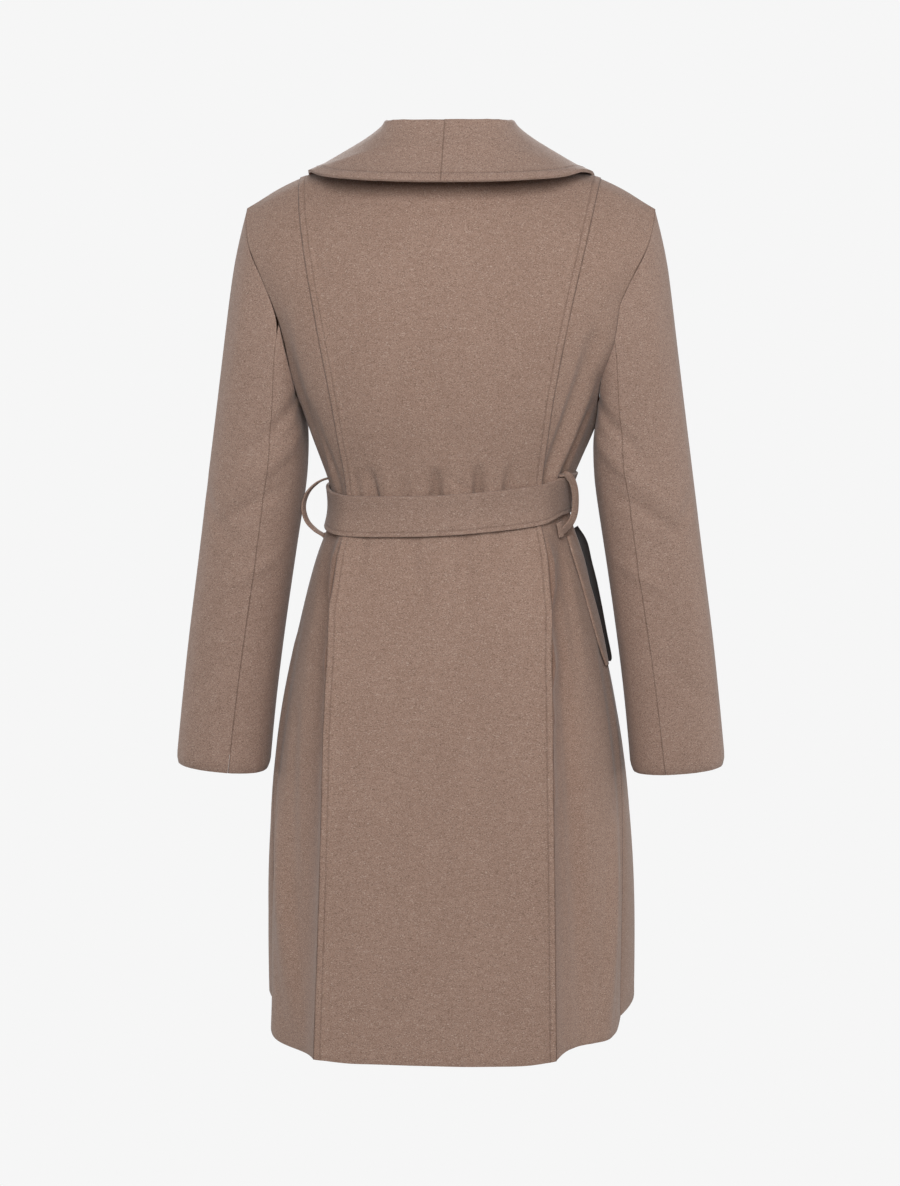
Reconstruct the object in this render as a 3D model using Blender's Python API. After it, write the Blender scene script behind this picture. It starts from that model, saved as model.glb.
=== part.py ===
"""Belted wrap coat of thick wool cloth, hollow as it is worn.

Metres, +Z up. The wearer faces -Y, so the back faces +Y, and the wearer's left is +X.
The origin lies midway between the two neck points, where the shoulders hold the coat.

The trunk is one form, cut into panels. A place on it has two numbers:
  around  0 centre back, 1 shoulder-to-hem seam, 2 side seam or armhole, 3 centre front,
          up to 4 past the front; negative on the wearer's right
  level   how far down from the shoulder line, along the cloth's own rows
"""

import math

import bmesh
import bpy
import numpy as np
from mathutils import Vector

MM = 0.001

# Driving dimensions
BACK_LENGTH = 0.905
UNDERARM = 0.252
WAIST = 0.351
SKIRT_TOP = 0.400
NECK_HALF_WIDTH = 0.066
NECK_DROP = 0.020
NECK_REACH = 0.100

CLOTH = 2.2 * MM
COLLAR_CLOTH = 2.4 * MM
BELT_CLOTH = 3.6 * MM
SEAM_GAP = 0.3 * MM
FOOT_GAP = 1.3 * MM
# The last place that still reads the back edge of the armhole, and not its front edge
BACK_END = 2 - 1e-6

# How far apart the points lie that slopes are measured from, in each shape's own places
SEAM_STEP = 0.01
LEVEL_STEP = 0.0015
RUN_STEP = 0.01
ROUND_STEP = 0.004
HALVINGS = 40

# How far a level's plan runs straight from each end of the side, in shares of its length
SIDE_REACH = 0.36
SIDEWAYS_REACH = 0.45

BELT_WIDTH = 40 * MM
KNOT_X = 20 * MM
KNOT_HALF = (23 * MM, 11 * MM, 25 * MM)
LOOP_WIDTH = 8 * MM
LOOP_CLOTH = 3.0 * MM

COLLECTION = "wrap_coat"

# Colours, as linear values, with roughness
WOOL = (0.305, 0.208, 0.163)
POCKETING = (0.012, 0.009, 0.009)
ROUGHNESS = 0.9


def steady_slopes(places, values):
    """Slopes for a curve that passes through each value and never overshoots one."""
    steps = np.diff(places)
    rises = np.diff(values) / steps
    slopes = np.zeros(len(values))
    slopes[0] = rises[0]
    slopes[-1] = rises[-1]
    for i in range(1, len(rises)):
        before, after = rises[i - 1], rises[i]
        if before * after > 0:
            one = 2 * steps[i] + steps[i - 1]
            two = steps[i] + 2 * steps[i - 1]
            slopes[i] = (one + two) / (one / before + two / after)
    return slopes


class Profile:
    """Smooth curves through a short table, all measured along its first column."""

    def __init__(self, columns, rows):
        data = np.array(rows, dtype=float)
        self.places = data[:, 0]
        self.columns = {}
        for number, name in enumerate(columns.split()):
            values = data[:, number]
            self.columns[name] = (values, steady_slopes(self.places, values))

    def at(self, name, place):
        values, slopes = self.columns[name]
        place = min(max(place, self.places[0]), self.places[-1])
        last = len(self.places) - 2
        i = min(int(np.searchsorted(self.places, place, side="right")) - 1, last)
        step = self.places[i + 1] - self.places[i]
        t = (place - self.places[i]) / step
        start = values[i] * (1 + 2 * t) * (1 - t) ** 2 + slopes[i] * step * t * (1 - t) ** 2
        end = values[i + 1] * t * t * (3 - 2 * t) + slopes[i + 1] * step * t * t * (t - 1)
        return float(start + end)


# The shoulder line, out from the neck
SHOULDER = Profile("out height", [
    (0.000, 0.021),
    (0.066, 0.017),
    (0.090, 0.010),
    (0.120, 0.001),
    (0.145, -0.0065),
    (0.157, -0.0105),
    (0.182, -0.0225),
    (0.202, -0.035),
    (0.2125, -0.041),
])

# Back: centre, then the shoulder-to-hem seam with the cloth's heading on each side of it
BACK = Profile("level centre_y seam_x seam_y heading_in heading_out", [
    (0.000, 0.000, 0.1560, 0.000, 0, 0),
    (0.004, 0.025, 0.1555, 0.016, 4, 4),
    (0.010, 0.042, 0.1545, 0.027, 7, 7),
    (0.020, 0.060, 0.1530, 0.040, 9, 9),
    (0.035, 0.073, 0.1505, 0.054, 11, 11),
    (0.055, 0.084, 0.1470, 0.067, 13, 13),
    (0.080, 0.095, 0.1425, 0.080, 15, 15),
    (0.115, 0.106, 0.1355, 0.092, 17, 17),
    (0.150, 0.114, 0.1285, 0.100, 19, 19),
    (0.190, 0.118, 0.1210, 0.102, 22, 22),
    (0.240, 0.116, 0.1120, 0.098, 26, 28),
    (0.290, 0.108, 0.1050, 0.087, 30, 38),
    (0.320, 0.102, 0.1005, 0.077, 33, 45),
    (0.351, 0.099, 0.1000, 0.072, 33, 50),
    (0.380, 0.104, 0.1030, 0.081, 26, 48),
    (0.420, 0.116, 0.1045, 0.097, 19, 46),
    (0.475, 0.130, 0.1065, 0.114, 14, 47),
    (0.620, 0.151, 0.1120, 0.142, 9, 51),
    (0.735, 0.164, 0.1165, 0.158, 7, 54),
    (0.905, 0.185, 0.1235, 0.181, 5, 57),
])

# Back edge of the armhole, then the side seam; the heading is 90 where it points forward
BACK_EDGE = Profile("level x y heading", [
    (0.000, 0.2125, 0.000, 0),
    (0.004, 0.2124, 0.006, 25),
    (0.010, 0.2122, 0.012, 29),
    (0.018, 0.2115, 0.020, 32),
    (0.028, 0.2100, 0.029, 35),
    (0.050, 0.2045, 0.041, 40),
    (0.080, 0.1940, 0.052, 46),
    (0.108, 0.1845, 0.060, 52),
    (0.146, 0.1722, 0.064, 58),
    (0.186, 0.1646, 0.061, 65),
    (0.216, 0.1588, 0.051, 72),
    (0.236, 0.1560, 0.037, 79),
    (0.247, 0.1545, 0.020, 85),
    (0.252, 0.1535, 0.000, 90),
    (0.265, 0.1490, 0.000, 90),
    (0.282, 0.1430, 0.000, 90),
    (0.3035, 0.1350, 0.000, 90),
    (0.318, 0.1285, 0.000, 90),
    (0.332, 0.1242, 0.000, 90),
    (0.351, 0.1230, 0.000, 90),
    (0.370, 0.1262, 0.001, 90),
    (0.384, 0.1345, 0.002, 90),
    (0.400, 0.1405, 0.003, 90),
    (0.431, 0.1485, 0.005, 90),
    (0.475, 0.1590, 0.008, 90),
    (0.517, 0.1675, 0.011, 89),
    (0.560, 0.1745, 0.015, 88),
    (0.620, 0.1830, 0.021, 87),
    (0.700, 0.1885, 0.028, 85),
    (0.800, 0.1915, 0.035, 83),
    (0.905, 0.1905, 0.042, 81),
])

# Front edge of the armhole; below it the front starts at the side seam
FRONT_EDGE = Profile("level x y heading", [
    (0.000, 0.2125, 0.000, 180),
    (0.004, 0.2120, -0.006, 172),
    (0.010, 0.2108, -0.012, 168),
    (0.018, 0.2085, -0.020, 164),
    (0.028, 0.2050, -0.028, 160),
    (0.050, 0.1970, -0.040, 155),
    (0.080, 0.1870, -0.050, 149),
    (0.108, 0.1780, -0.057, 143),
    (0.146, 0.1685, -0.062, 135),
    (0.186, 0.1615, -0.060, 124),
    (0.216, 0.1570, -0.051, 113),
    (0.236, 0.1550, -0.037, 102),
    (0.247, 0.1540, -0.020, 94),
    (0.252, 0.1535, 0.000, 90),
])

# Front: depth at the centre, how square its curve is, and how far the edge passes the centre
FRONT = Profile("level centre_y square past", [
    (0.000, 0.000, 0.40, -0.0660),
    (0.004, -0.016, 0.42, -0.0650),
    (0.010, -0.028, 0.42, -0.0640),
    (0.020, -0.042, 0.42, -0.0612),
    (0.035, -0.057, 0.42, -0.0567),
    (0.055, -0.072, 0.42, -0.0505),
    (0.080, -0.087, 0.43, -0.0428),
    (0.115, -0.104, 0.45, -0.0318),
    (0.150, -0.119, 0.48, -0.0208),
    (0.190, -0.132, 0.52, -0.0085),
    (0.220, -0.137, 0.56, 0.0008),
    (0.252, -0.136, 0.60, 0.0105),
    (0.290, -0.124, 0.60, 0.0225),
    (0.320, -0.113, 0.58, 0.0330),
    (0.351, -0.107, 0.58, 0.0500),
    (0.380, -0.110, 0.58, 0.0680),
    (0.400, -0.115, 0.58, 0.0770),
    (0.475, -0.132, 0.60, 0.0930),
    (0.620, -0.150, 0.62, 0.1010),
    (0.735, -0.158, 0.62, 0.1050),
    (0.905, -0.168, 0.62, 0.1100),
])

# How far down the hem hangs, round the coat
HEM = Profile("around level", [
    (-3.00, 0.8620),
    (-2.60, 0.8680),
    (-2.30, 0.8790),
    (-2.00, 0.8920),
    (-1.60, 0.8980),
    (-1.40, 0.8960),
    (-1.15, 0.8930),
    (-1.00, 0.8965),
    (-0.75, 0.9030),
    (0.00, 0.9050),
    (0.70, 0.9050),
    (1.00, 0.9020),
    (1.25, 0.9060),
    (1.50, 0.9065),
    (1.65, 0.9020),
    (2.00, 0.8880),
    (2.30, 0.8700),
    (2.40, 0.8620),
    (3.00, 0.8620),
])

# The largest folds: side (1 left, -1 right, 0 both), places at the waist and at the hem,
# the level where it starts, its height at the hem and its half width
FOLDS = [
    # side, at_waist, at_hem, starts, height, half_width
    (0, 1.20, 1.17, 0.400, -3.5 * MM, 0.22),
    (1, 1.55, 1.60, 0.520, 9.0 * MM, 0.28),
    (-1, 1.60, 1.66, 0.480, 5.0 * MM, 0.26),
    (0, 2.00, 2.00, 0.560, -6.0 * MM, 0.22),
    (1, 2.16, 2.20, 0.440, 13.0 * MM, 0.24),
    (-1, 2.16, 2.20, 0.440, 12.5 * MM, 0.26),
    (0, 2.40, 2.46, 0.460, -6.0 * MM, 0.16),
    (1, 2.60, 2.68, 0.420, 5.0 * MM, 0.16),
    (-1, 2.56, 2.66, 0.440, 6.0 * MM, 0.18),
    (0, 0.00, 0.00, 0.420, 1.5 * MM, 0.60),
]

# How the overlapping right front is lifted over the left one
WRAP_LIFT = Profile("level lift", [
    (0.000, 0.0),
    (0.120, 0.0),
    (0.190, 13.8 * MM),
    (0.298, 13.8 * MM),
    (0.330, 4.0 * MM),
    (0.620, 4.0 * MM),
    (0.905, 5.4 * MM),
])
WRAP_RAMP = 0.040
WRAP_MARGIN = 0.008

# Collar and lapel, along the roll from centre back (0) to the waist (1):
# place of its foot on the neckline, height of its stand, which way the stand rises,
# where its outer edge lies, and how closely the fall lies on the front
COLLAR = Profile(
    "run foot_x foot_level stand rise_x rise_y rise_z edge_x edge_y edge_z hug", [
        (0.00, 0.0000, 0.0200, 44 * MM, 0.00, -0.10, 1.00, 0.0000, 0.109, -0.0105, 0.0),
        (0.06, 0.0260, 0.0184, 42 * MM, 0.00, -0.08, 1.00, 0.0400, 0.107, -0.0100, 0.0),
        (0.12, 0.0470, 0.0140, 37 * MM, -0.03, -0.05, 1.00, 0.0800, 0.097, -0.0085, 0.0),
        (0.18, 0.0620, 0.0068, 31 * MM, -0.08, 0.00, 1.00, 0.1180, 0.072, -0.0060, 0.0),
        (0.24, 0.0660, 0.0000, 26 * MM, -0.12, 0.00, 1.00, 0.1455, 0.012, -0.0030, 0.0),
        (0.31, 0.0640, 0.0100, 17 * MM, -0.35, 0.00, 0.90, 0.1490, -0.040, -0.0270, 0.3),
        (0.40, 0.0582, 0.0300, 8 * MM, -0.70, -0.10, 0.60, 0.1380, -0.080, -0.0700, 0.8),
        (0.50, 0.0444, 0.0750, 3 * MM, -0.92, -0.15, 0.36, 0.1230, -0.100, -0.1180, 1.0),
        (0.62, 0.0255, 0.1350, 1 * MM, -0.94, -0.15, 0.30, 0.1060, -0.115, -0.1650, 1.0),
        (0.74, 0.0070, 0.1950, 1 * MM, -0.95, -0.10, 0.28, 0.0820, -0.125, -0.2130, 1.0),
        (0.86, -0.0120, 0.2570, 1 * MM, -0.96, -0.05, 0.27, 0.0450, -0.128, -0.2600, 1.0),
        (1.00, -0.0310, 0.3150, 1 * MM, -0.96, 0.00, 0.27, -0.0120, -0.118, -0.3130, 1.0),
    ])
COLLAR_SHOULDER = 0.24
# How far down their rolls the lapels end: the left one higher, under the right front
COLLAR_END = {1: 0.93, -1: 0.97}
ROLL_RADIUS = {1: 2.8 * MM, -1: 3.2 * MM}
FALL_CLEARANCE = 2.2 * MM
FALL_START = 0.06
FALL_END = 0.35
ROLL_SETTLES = 0.7
STAND_COLUMNS = 2
ROLL_COLUMNS = 4
FALL_COLUMNS = 8
COLLAR_STRETCHES = [
    # start, end, rows
    (0.00, 0.20, 6),
    (0.20, 0.34, 7),
    (0.34, 1.00, 12),
]

# Sleeve: its outer and inner outlines from the armhole (0) to the cuff (1)
SLEEVE = Profile("run outer_x outer_z inner_x inner_z half_depth centre_y", [
    (0.00, 0.2125, -0.041, 0.1535, -0.2520, 0.062, 0.000),
    (0.03, 0.2190, -0.059, 0.1542, -0.2530, 0.063, 0.000),
    (0.10, 0.2278, -0.108, 0.1530, -0.2610, 0.064, 0.000),
    (0.20, 0.2348, -0.160, 0.1500, -0.2820, 0.063, 0.000),
    (0.30, 0.2420, -0.214, 0.1507, -0.3130, 0.061, -0.001),
    (0.40, 0.2490, -0.266, 0.1550, -0.3480, 0.059, -0.001),
    (0.50, 0.2562, -0.318, 0.1607, -0.3830, 0.057, -0.001),
    (0.60, 0.2633, -0.371, 0.1672, -0.4240, 0.055, -0.002),
    (0.70, 0.2710, -0.428, 0.1742, -0.4700, 0.053, -0.002),
    (0.80, 0.2800, -0.492, 0.1815, -0.5220, 0.051, -0.002),
    (0.90, 0.2880, -0.560, 0.1885, -0.5800, 0.049, -0.001),
    (1.00, 0.2955, -0.630, 0.1940, -0.6380, 0.047, 0.000),
])
# How far each cuff is lifted and drawn in: the wearer's right arm is bent a little more
SLEEVE_RAISED = {1: 0.0, -1: 7 * MM}
SLEEVE_DRAWN_IN = {1: 0.0, -1: 2 * MM}
SLEEVE_SQUARE = 2.3
SLEEVE_BLEND = 0.30
SLEEVE_ROWS = 15
SLEEVE_STEP = 0.3 * MM
# Its two long seams; round is 0 at the shoulder, 0.25 behind, 0.5 under the arm
HIND_SEAM = Profile("run round", [(0.0, 0.2829), (0.3, 0.292), (0.6, 0.293), (1.0, 0.282)])
FRONT_SEAM = Profile("run round", [(0.0, 0.6741), (0.3, 0.680), (1.0, 0.700)])
HIND_SEAM_ROW = 7
FRONT_SEAM_ROW = 8

# The belt's middle line round the waist, low at the wearer's left back
BELT_LINE = Profile("around level", [
    (-3.20, 0.3520),
    (-3.00, 0.3500),
    (-2.50, 0.3420),
    (-2.00, 0.3360),
    (-1.40, 0.3340),
    (-1.00, 0.3400),
    (-0.60, 0.3440),
    (0.00, 0.3490),
    (0.60, 0.3520),
    (1.00, 0.3535),
    (1.40, 0.3525),
    (2.00, 0.3495),
    (3.00, 0.3520),
])
BELT_CLEARANCE = 2.2 * MM
BELT_ROWS = 4

# Belt loops: straps that stand out from the side, from above the belt to below it
LOOP_LEFT = Profile("run level out", [
    (0.00, 0.3120, 4.4 * MM),
    (0.10, 0.3190, 4.8 * MM),
    (0.22, 0.3260, 13.0 * MM),
    (0.36, 0.3370, 24.5 * MM),
    (0.50, 0.3520, 29.5 * MM),
    (0.62, 0.3640, 29.5 * MM),
    (0.76, 0.3760, 22.0 * MM),
    (0.89, 0.3860, 8.0 * MM),
    (0.95, 0.3920, 4.7 * MM),
    (1.00, 0.3990, 4.4 * MM),
])
LOOP_RIGHT = Profile("run level out", [
    (0.00, 0.2960, 3.6 * MM),
    (0.10, 0.3020, 4.0 * MM),
    (0.22, 0.3090, 8.5 * MM),
    (0.36, 0.3200, 13.5 * MM),
    (0.50, 0.3350, 17.5 * MM),
    (0.62, 0.3480, 18.0 * MM),
    (0.76, 0.3610, 15.5 * MM),
    (0.89, 0.3720, 8.5 * MM),
    (0.95, 0.3780, 3.9 * MM),
    (1.00, 0.3860, 3.6 * MM),
])
LOOP_AROUND = {1: 1.93, -1: -1.68}
LOOP_COLUMNS = 2
LOOP_SEGMENTS = 18

# Belt ends below the knot: centre line over the front, width of the band, and how far
# it stands out from the front where it leaves the knot
TAIL_LEFT = Profile("run x level width out", [
    (0.00, 0.0295, 0.3775, 17.5 * MM, 13 * MM),
    (0.10, 0.0345, 0.3980, 27 * MM, 9 * MM),
    (0.25, 0.0420, 0.4350, 37 * MM, 2 * MM),
    (0.45, 0.0470, 0.5000, 40 * MM, 0),
    (1.00, 0.0500, 0.6650, 40 * MM, 0),
])
TAIL_RIGHT = Profile("run x level width out", [
    (0.00, 0.0105, 0.3775, 17.5 * MM, 13 * MM),
    (0.10, 0.0050, 0.3980, 27 * MM, 9 * MM),
    (0.25, -0.0030, 0.4400, 37 * MM, 2 * MM),
    (0.45, -0.0080, 0.5050, 40 * MM, 0),
    (1.00, -0.0120, 0.7050, 40 * MM, 0),
])
TAIL_CLEARANCE = 1.0 * MM
KNOT_EDGE = 9 * MM
# Its rounded edges let the knot sit this far behind the belt's foremost line
KNOT_SET_BACK = 0.5 * MM
TAIL_COLUMNS = 4
TAIL_ROWS = 14

# In-seam pockets: a welt on the front side of the side seam, and the pocketing that shows
POCKET_TOP = 0.384
POCKET_BOTTOM = 0.524
WELT_CLOTH = 1.8 * MM
WELT_PLACES = (2.01, 2.075)
WELT_CLEARANCE = 0.6 * MM
WELT_GAPE = 2.6 * MM
LINING_CLOTH = 1.2 * MM
LINING_PLACES = (2.085, 2.175)
LINING_LIFT = (2.0 * MM, 4.5 * MM)
POCKET_COLUMNS = 2
POCKET_ROWS = 10

# Mesh columns across each panel of the trunk, and its rows by stretches of level
BACK_COLUMNS = 14
SIDE_COLUMNS = 7
FRONT_COLUMNS = 12
ROW_STRETCHES = [
    # start, end, rows
    (0.000, 0.012, 2),
    (0.012, 0.055, 2),
    (0.055, 0.216, 5),
    (0.216, 0.246, 2),
    (0.246, 0.252, 1),
    (0.252, 0.332, 3),
    (0.332, 0.370, 2),
    (0.370, 0.400, 1),
    (0.400, 0.905, 8),
]


def ease(low, high, place):
    """0 below low, 1 above high, and a smooth ramp between."""
    t = min(max((place - low) / (high - low), 0.0), 1.0)
    return t * t * (3 - 2 * t)


def bezier(points, t):
    a, b, c, d = points
    s = 1 - t
    return a * s ** 3 + b * 3 * s * s * t + c * 3 * s * t * t + d * t ** 3


def bezier_heading(points, t):
    a, b, c, d = points
    s = 1 - t
    slope = (b - a) * s * s + (c - b) * 2 * s * t + (d - c) * t * t
    return slope.normalized()


def heading(degrees):
    """A plan direction: 0 towards the wearer's side, 90 forward, 180 back to the centre."""
    turn = math.radians(degrees)
    return Vector((math.cos(turn), -math.sin(turn)))


def plan_curve(stretch, level):
    """The four control points of one stretch of a level's plan, on the wearer's left."""
    seam = Vector((BACK.at("seam_x", level), BACK.at("seam_y", level)))
    edge = Vector((BACK_EDGE.at("x", level), BACK_EDGE.at("y", level)))
    edge_heading = heading(BACK_EDGE.at("heading", level))
    if stretch == 0:
        start = Vector((0.0, BACK.at("centre_y", level)))
        reach = seam.x / 3
        arrive = heading(BACK.at("heading_in", level))
        return start, start + Vector((reach, 0)), seam - arrive * reach, seam
    if stretch == 1:
        reach = (edge - seam).length * SIDE_REACH
        leave = heading(BACK.at("heading_out", level))
        return seam, seam + leave * reach, edge - edge_heading * reach, edge
    if level < UNDERARM:
        edge = Vector((FRONT_EDGE.at("x", level), FRONT_EDGE.at("y", level)))
        edge_heading = heading(FRONT_EDGE.at("heading", level))
    centre = Vector((0.0, FRONT.at("centre_y", level)))
    square = FRONT.at("square", level)
    depth = abs(edge.y - centre.y)
    sideways = abs(edge_heading.x) * edge.x * SIDEWAYS_REACH
    leave = edge_heading * (depth * square * (1 - abs(edge_heading.x)) + sideways)
    return edge, edge + leave, centre + Vector((edge.x * square, 0)), centre


def fold_height(side, place, level):
    """How far the folds stand out of the plain form."""
    height = 0.0
    for fold_side, at_waist, at_hem, starts, full, half_width in FOLDS:
        if fold_side in (0, side) and level > starts:
            down = (level - SKIRT_TOP) / (BACK_LENGTH - SKIRT_TOP)
            centre = at_waist + (at_hem - at_waist) * down
            near = min(abs(place - centre) / half_width, 1.0)
            height += full * ease(starts, BACK_LENGTH, level) * (1 + math.cos(math.pi * near)) / 2
    return height


def form(around, level, lift=0.0):
    """A point of the trunk's outer face, moved out by lift in plan."""
    side = 1 if around >= 0 else -1
    place = abs(around)
    if place > 3:
        place = 6 - place
        side = -side
    stretch = min(int(place), 2)
    curve = plan_curve(stretch, level)
    t = place - stretch
    plan = bezier(curve, t)
    ahead = bezier_heading(curve, t)
    plan = plan + Vector((-ahead.y, ahead.x)) * (lift + fold_height(side, place, level))
    held = 1 - ease(0.0, UNDERARM, level)
    down = level
    if level > SKIRT_TOP:
        hem = HEM.at("level", side * place)
        down = SKIRT_TOP + (level - SKIRT_TOP) * (hem - SKIRT_TOP) / (BACK_LENGTH - SKIRT_TOP)
    height = SHOULDER.at("height", plan.x) * held - down
    return Vector((side * plan.x, plan.y, height))


def form_normal(around, level, lift=0.0, limits=(-4.0, 4.0)):
    """Out of the cloth, from points on each side, which stay inside the panel's limits."""
    low = max(around - SEAM_STEP, limits[0])
    high = min(around + SEAM_STEP, limits[1])
    above = max(level - LEVEL_STEP, 0.0)
    below = min(level + LEVEL_STEP, BACK_LENGTH)
    along = form(high, level, lift) - form(low, level, lift)
    down = form(around, below, lift) - form(around, above, lift)
    normal = along.cross(down).normalized()
    if level < 1e-6:
        normal.y = 0.0
        normal.normalize()
    return normal


def around_at(x, level):
    """Where on the wearer's left front a level's plan lies x out from the centre."""
    low, high = 2.0, 3.0
    for _ in range(HALVINGS):
        middle = (low + high) / 2
        if bezier(plan_curve(2, level), middle - 2).x > abs(x):
            low = middle
        else:
            high = middle
    return low if x >= 0 else 6 - low


def back_around_at(x, level):
    """The same on the back, from the centre to the armhole or the side seam."""
    low, high = 0.0, 2.0
    for _ in range(HALVINGS):
        middle = (low + high) / 2
        stretch = min(int(middle), 1)
        if bezier(plan_curve(stretch, level), middle - stretch).x < x:
            low = middle
        else:
            high = middle
    return low


def wrap_lift(own_x, level):
    """How far the right front is lifted where it lies over the left; own_x falls past centre."""
    past = FRONT.at("past", level)
    near = 1 - ease(past + WRAP_MARGIN, past + WRAP_MARGIN + WRAP_RAMP, own_x)
    return WRAP_LIFT.at("lift", level) * near


def level_below(x, height):
    """The level whose row passes through a height, x out from the centre."""
    low, high = 0.0, BACK_LENGTH
    shoulder = SHOULDER.at("height", abs(x))
    for _ in range(HALVINGS):
        middle = (low + high) / 2
        if shoulder * (1 - ease(0.0, UNDERARM, middle)) - middle > height:
            low = middle
        else:
            high = middle
    return low


def trunk_face(point, wrapped):
    """How far a point stands out of the trunk's outer face, and that face's normal there."""
    level = level_below(point.x, point.z)
    if point.y > 0:
        around = back_around_at(abs(point.x), level)
    else:
        around = around_at(point.x, level)
    lift = wrap_lift(point.x, level) if wrapped and point.y <= 0 else 0.0
    normal = form_normal(around, level, lift)
    return (point - form(around, level, lift)).dot(normal), normal


def make_material(name, colour):
    material = bpy.data.materials.new(name)
    material.use_nodes = True
    shader = material.node_tree.nodes["Principled BSDF"]
    shader.inputs["Base Color"].default_value = (*colour, 1.0)
    shader.inputs["Roughness"].default_value = ROUGHNESS
    shader.inputs["Metallic"].default_value = 0.0
    return material


def add_object(name, shape, colour=WOOL):
    bmesh.ops.recalc_face_normals(shape, faces=shape.faces[:])
    if shape.calc_volume(signed=True) < 0:
        bmesh.ops.reverse_faces(shape, faces=shape.faces[:])
    mesh = bpy.data.meshes.new(name)
    shape.to_mesh(mesh)
    shape.free()
    mesh.shade_smooth()
    mesh.set_sharp_from_angle(angle=math.radians(40))
    mesh.materials.append(make_material(name, colour))
    item = bpy.data.objects.new(name, mesh)
    bpy.data.collections[COLLECTION].objects.link(item)
    return item


def cloth_wall(name, columns, rows, place, colour=WOOL):
    """A flat grid laid on place(u, v), which gives its outer and its inner point there."""
    shape = bmesh.new()
    bmesh.ops.create_grid(shape, x_segments=columns, y_segments=rows, size=0.5)
    made = bmesh.ops.extrude_face_region(shape, geom=shape.faces[:], use_keep_orig=True)
    inner = {item for item in made["geom"] if isinstance(item, bmesh.types.BMVert)}
    for vert in shape.verts:
        outer_point, inner_point = place(vert.co.x + 0.5, vert.co.y + 0.5)
        vert.co = inner_point if vert in inner else outer_point
    return add_object(name, shape, colour)


def stretched(stretches):
    """Places along a table of stretches, each cut into its number of rows."""
    places = [stretches[0][0]]
    for start, end, rows in stretches:
        for row in range(1, rows + 1):
            places.append(start + (end - start) * row / rows)
    return places


LEVELS = stretched(ROW_STRETCHES)


def level_of(v):
    """The level of a grid row, v from 0 at the shoulder to 1 at the hem."""
    place = v * (len(LEVELS) - 1)
    row = min(int(place + 1e-6), len(LEVELS) - 2)
    return LEVELS[row] + (LEVELS[row + 1] - LEVELS[row]) * (place - row)


def mirrored(point, side):
    return Vector((point.x * side, point.y, point.z))


def panel_point(around, level, limits=(-4.0, 4.0), lift=0.0, aside=0):
    """A panel's outer and inner point; aside is 1 or -1 where it steps back from a seam."""
    outer = form(around, level, lift)
    if aside:
        across = form(around + SEAM_STEP, level, lift) - form(around - SEAM_STEP, level, lift)
        outer += across.normalized() * (aside * SEAM_GAP / 2)
    return outer, outer - form_normal(around, level, lift, limits) * CLOTH


def below_neckline(around, level):
    """The centre back panel starts at the neckline, and its rows close up below it."""
    x = abs(form(around, level).x)
    if x >= NECK_HALF_WIDTH or level >= NECK_REACH:
        return level
    top = NECK_DROP * math.sqrt(1 - (x / NECK_HALF_WIDTH) ** 2)
    return top + (1 - top / NECK_REACH) * level


def build_back_centre():
    def place(u, v):
        level = level_of(v)
        around = -1 + 2 * u
        aside = {0.0: 1, 1.0: -1}.get(u, 0)
        return panel_point(around, below_neckline(around, level), aside=aside)
    cloth_wall("back_centre", BACK_COLUMNS, len(LEVELS) - 1, place)


def build_back_side(side, name):
    def place(u, v):
        level = level_of(v)
        aside = side if u == 0.0 else 0
        if u == 1.0 and level >= UNDERARM:
            aside = -side
        reach = BACK_END if level < UNDERARM else 2.0
        limits = (-reach, reach) if level < UNDERARM else (-4.0, 4.0)
        return panel_point(side * min(1 + u, reach), level, limits, aside=aside)
    cloth_wall(name, SIDE_COLUMNS, len(LEVELS) - 1, place)


def build_front(side, name):
    def place(u, v):
        level = level_of(v)
        edge = around_at(-FRONT.at("past", level), level)
        around = side * (2 + (edge - 2) * u)
        aside = side if u == 0.0 and level >= UNDERARM else 0
        limits = (-4.0, 4.0)
        if level < UNDERARM:
            limits = (2.0, 4.0) if side > 0 else (-4.0, -2.0)
        lift = wrap_lift(side * form(around, level).x, level) if side < 0 else 0.0
        outer, inner = panel_point(around, level, limits, lift, aside)
        if level < 1e-6:
            outer.y -= SEAM_GAP
            inner.y -= SEAM_GAP
        return outer, inner
    cloth_wall(name, FRONT_COLUMNS, len(LEVELS) - 1, place)


def collar_foot(run, wrapped):
    """The collar's foot on the outer face of the neckline, and the cloth's normal there."""
    x = COLLAR.at("foot_x", run)
    level = COLLAR.at("foot_level", run)
    around = back_around_at(x, level) if run < COLLAR_SHOULDER else around_at(x, level)
    lift = wrap_lift(x, level) if wrapped and run >= COLLAR_SHOULDER else 0.0
    normal = form_normal(around, level, lift)
    return form(around, level, lift) + normal * FOOT_GAP, normal


def collar_edge(run, wrapped):
    """The collar's outer edge: free over the back, on the cloth over the front."""
    free = Vector([COLLAR.at(name, run) for name in ("edge_x", "edge_y", "edge_z")])
    hug = COLLAR.at("hug", run)
    if hug == 0.0:
        return free
    level = level_below(free.x, free.z)
    around = around_at(free.x, level)
    lift = wrap_lift(free.x, level) if wrapped else 0.0
    height = FALL_CLEARANCE + COLLAR_CLOTH
    resting = form(around, level, lift) + form_normal(around, level, lift) * height
    return free.lerp(resting, hug)


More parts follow.
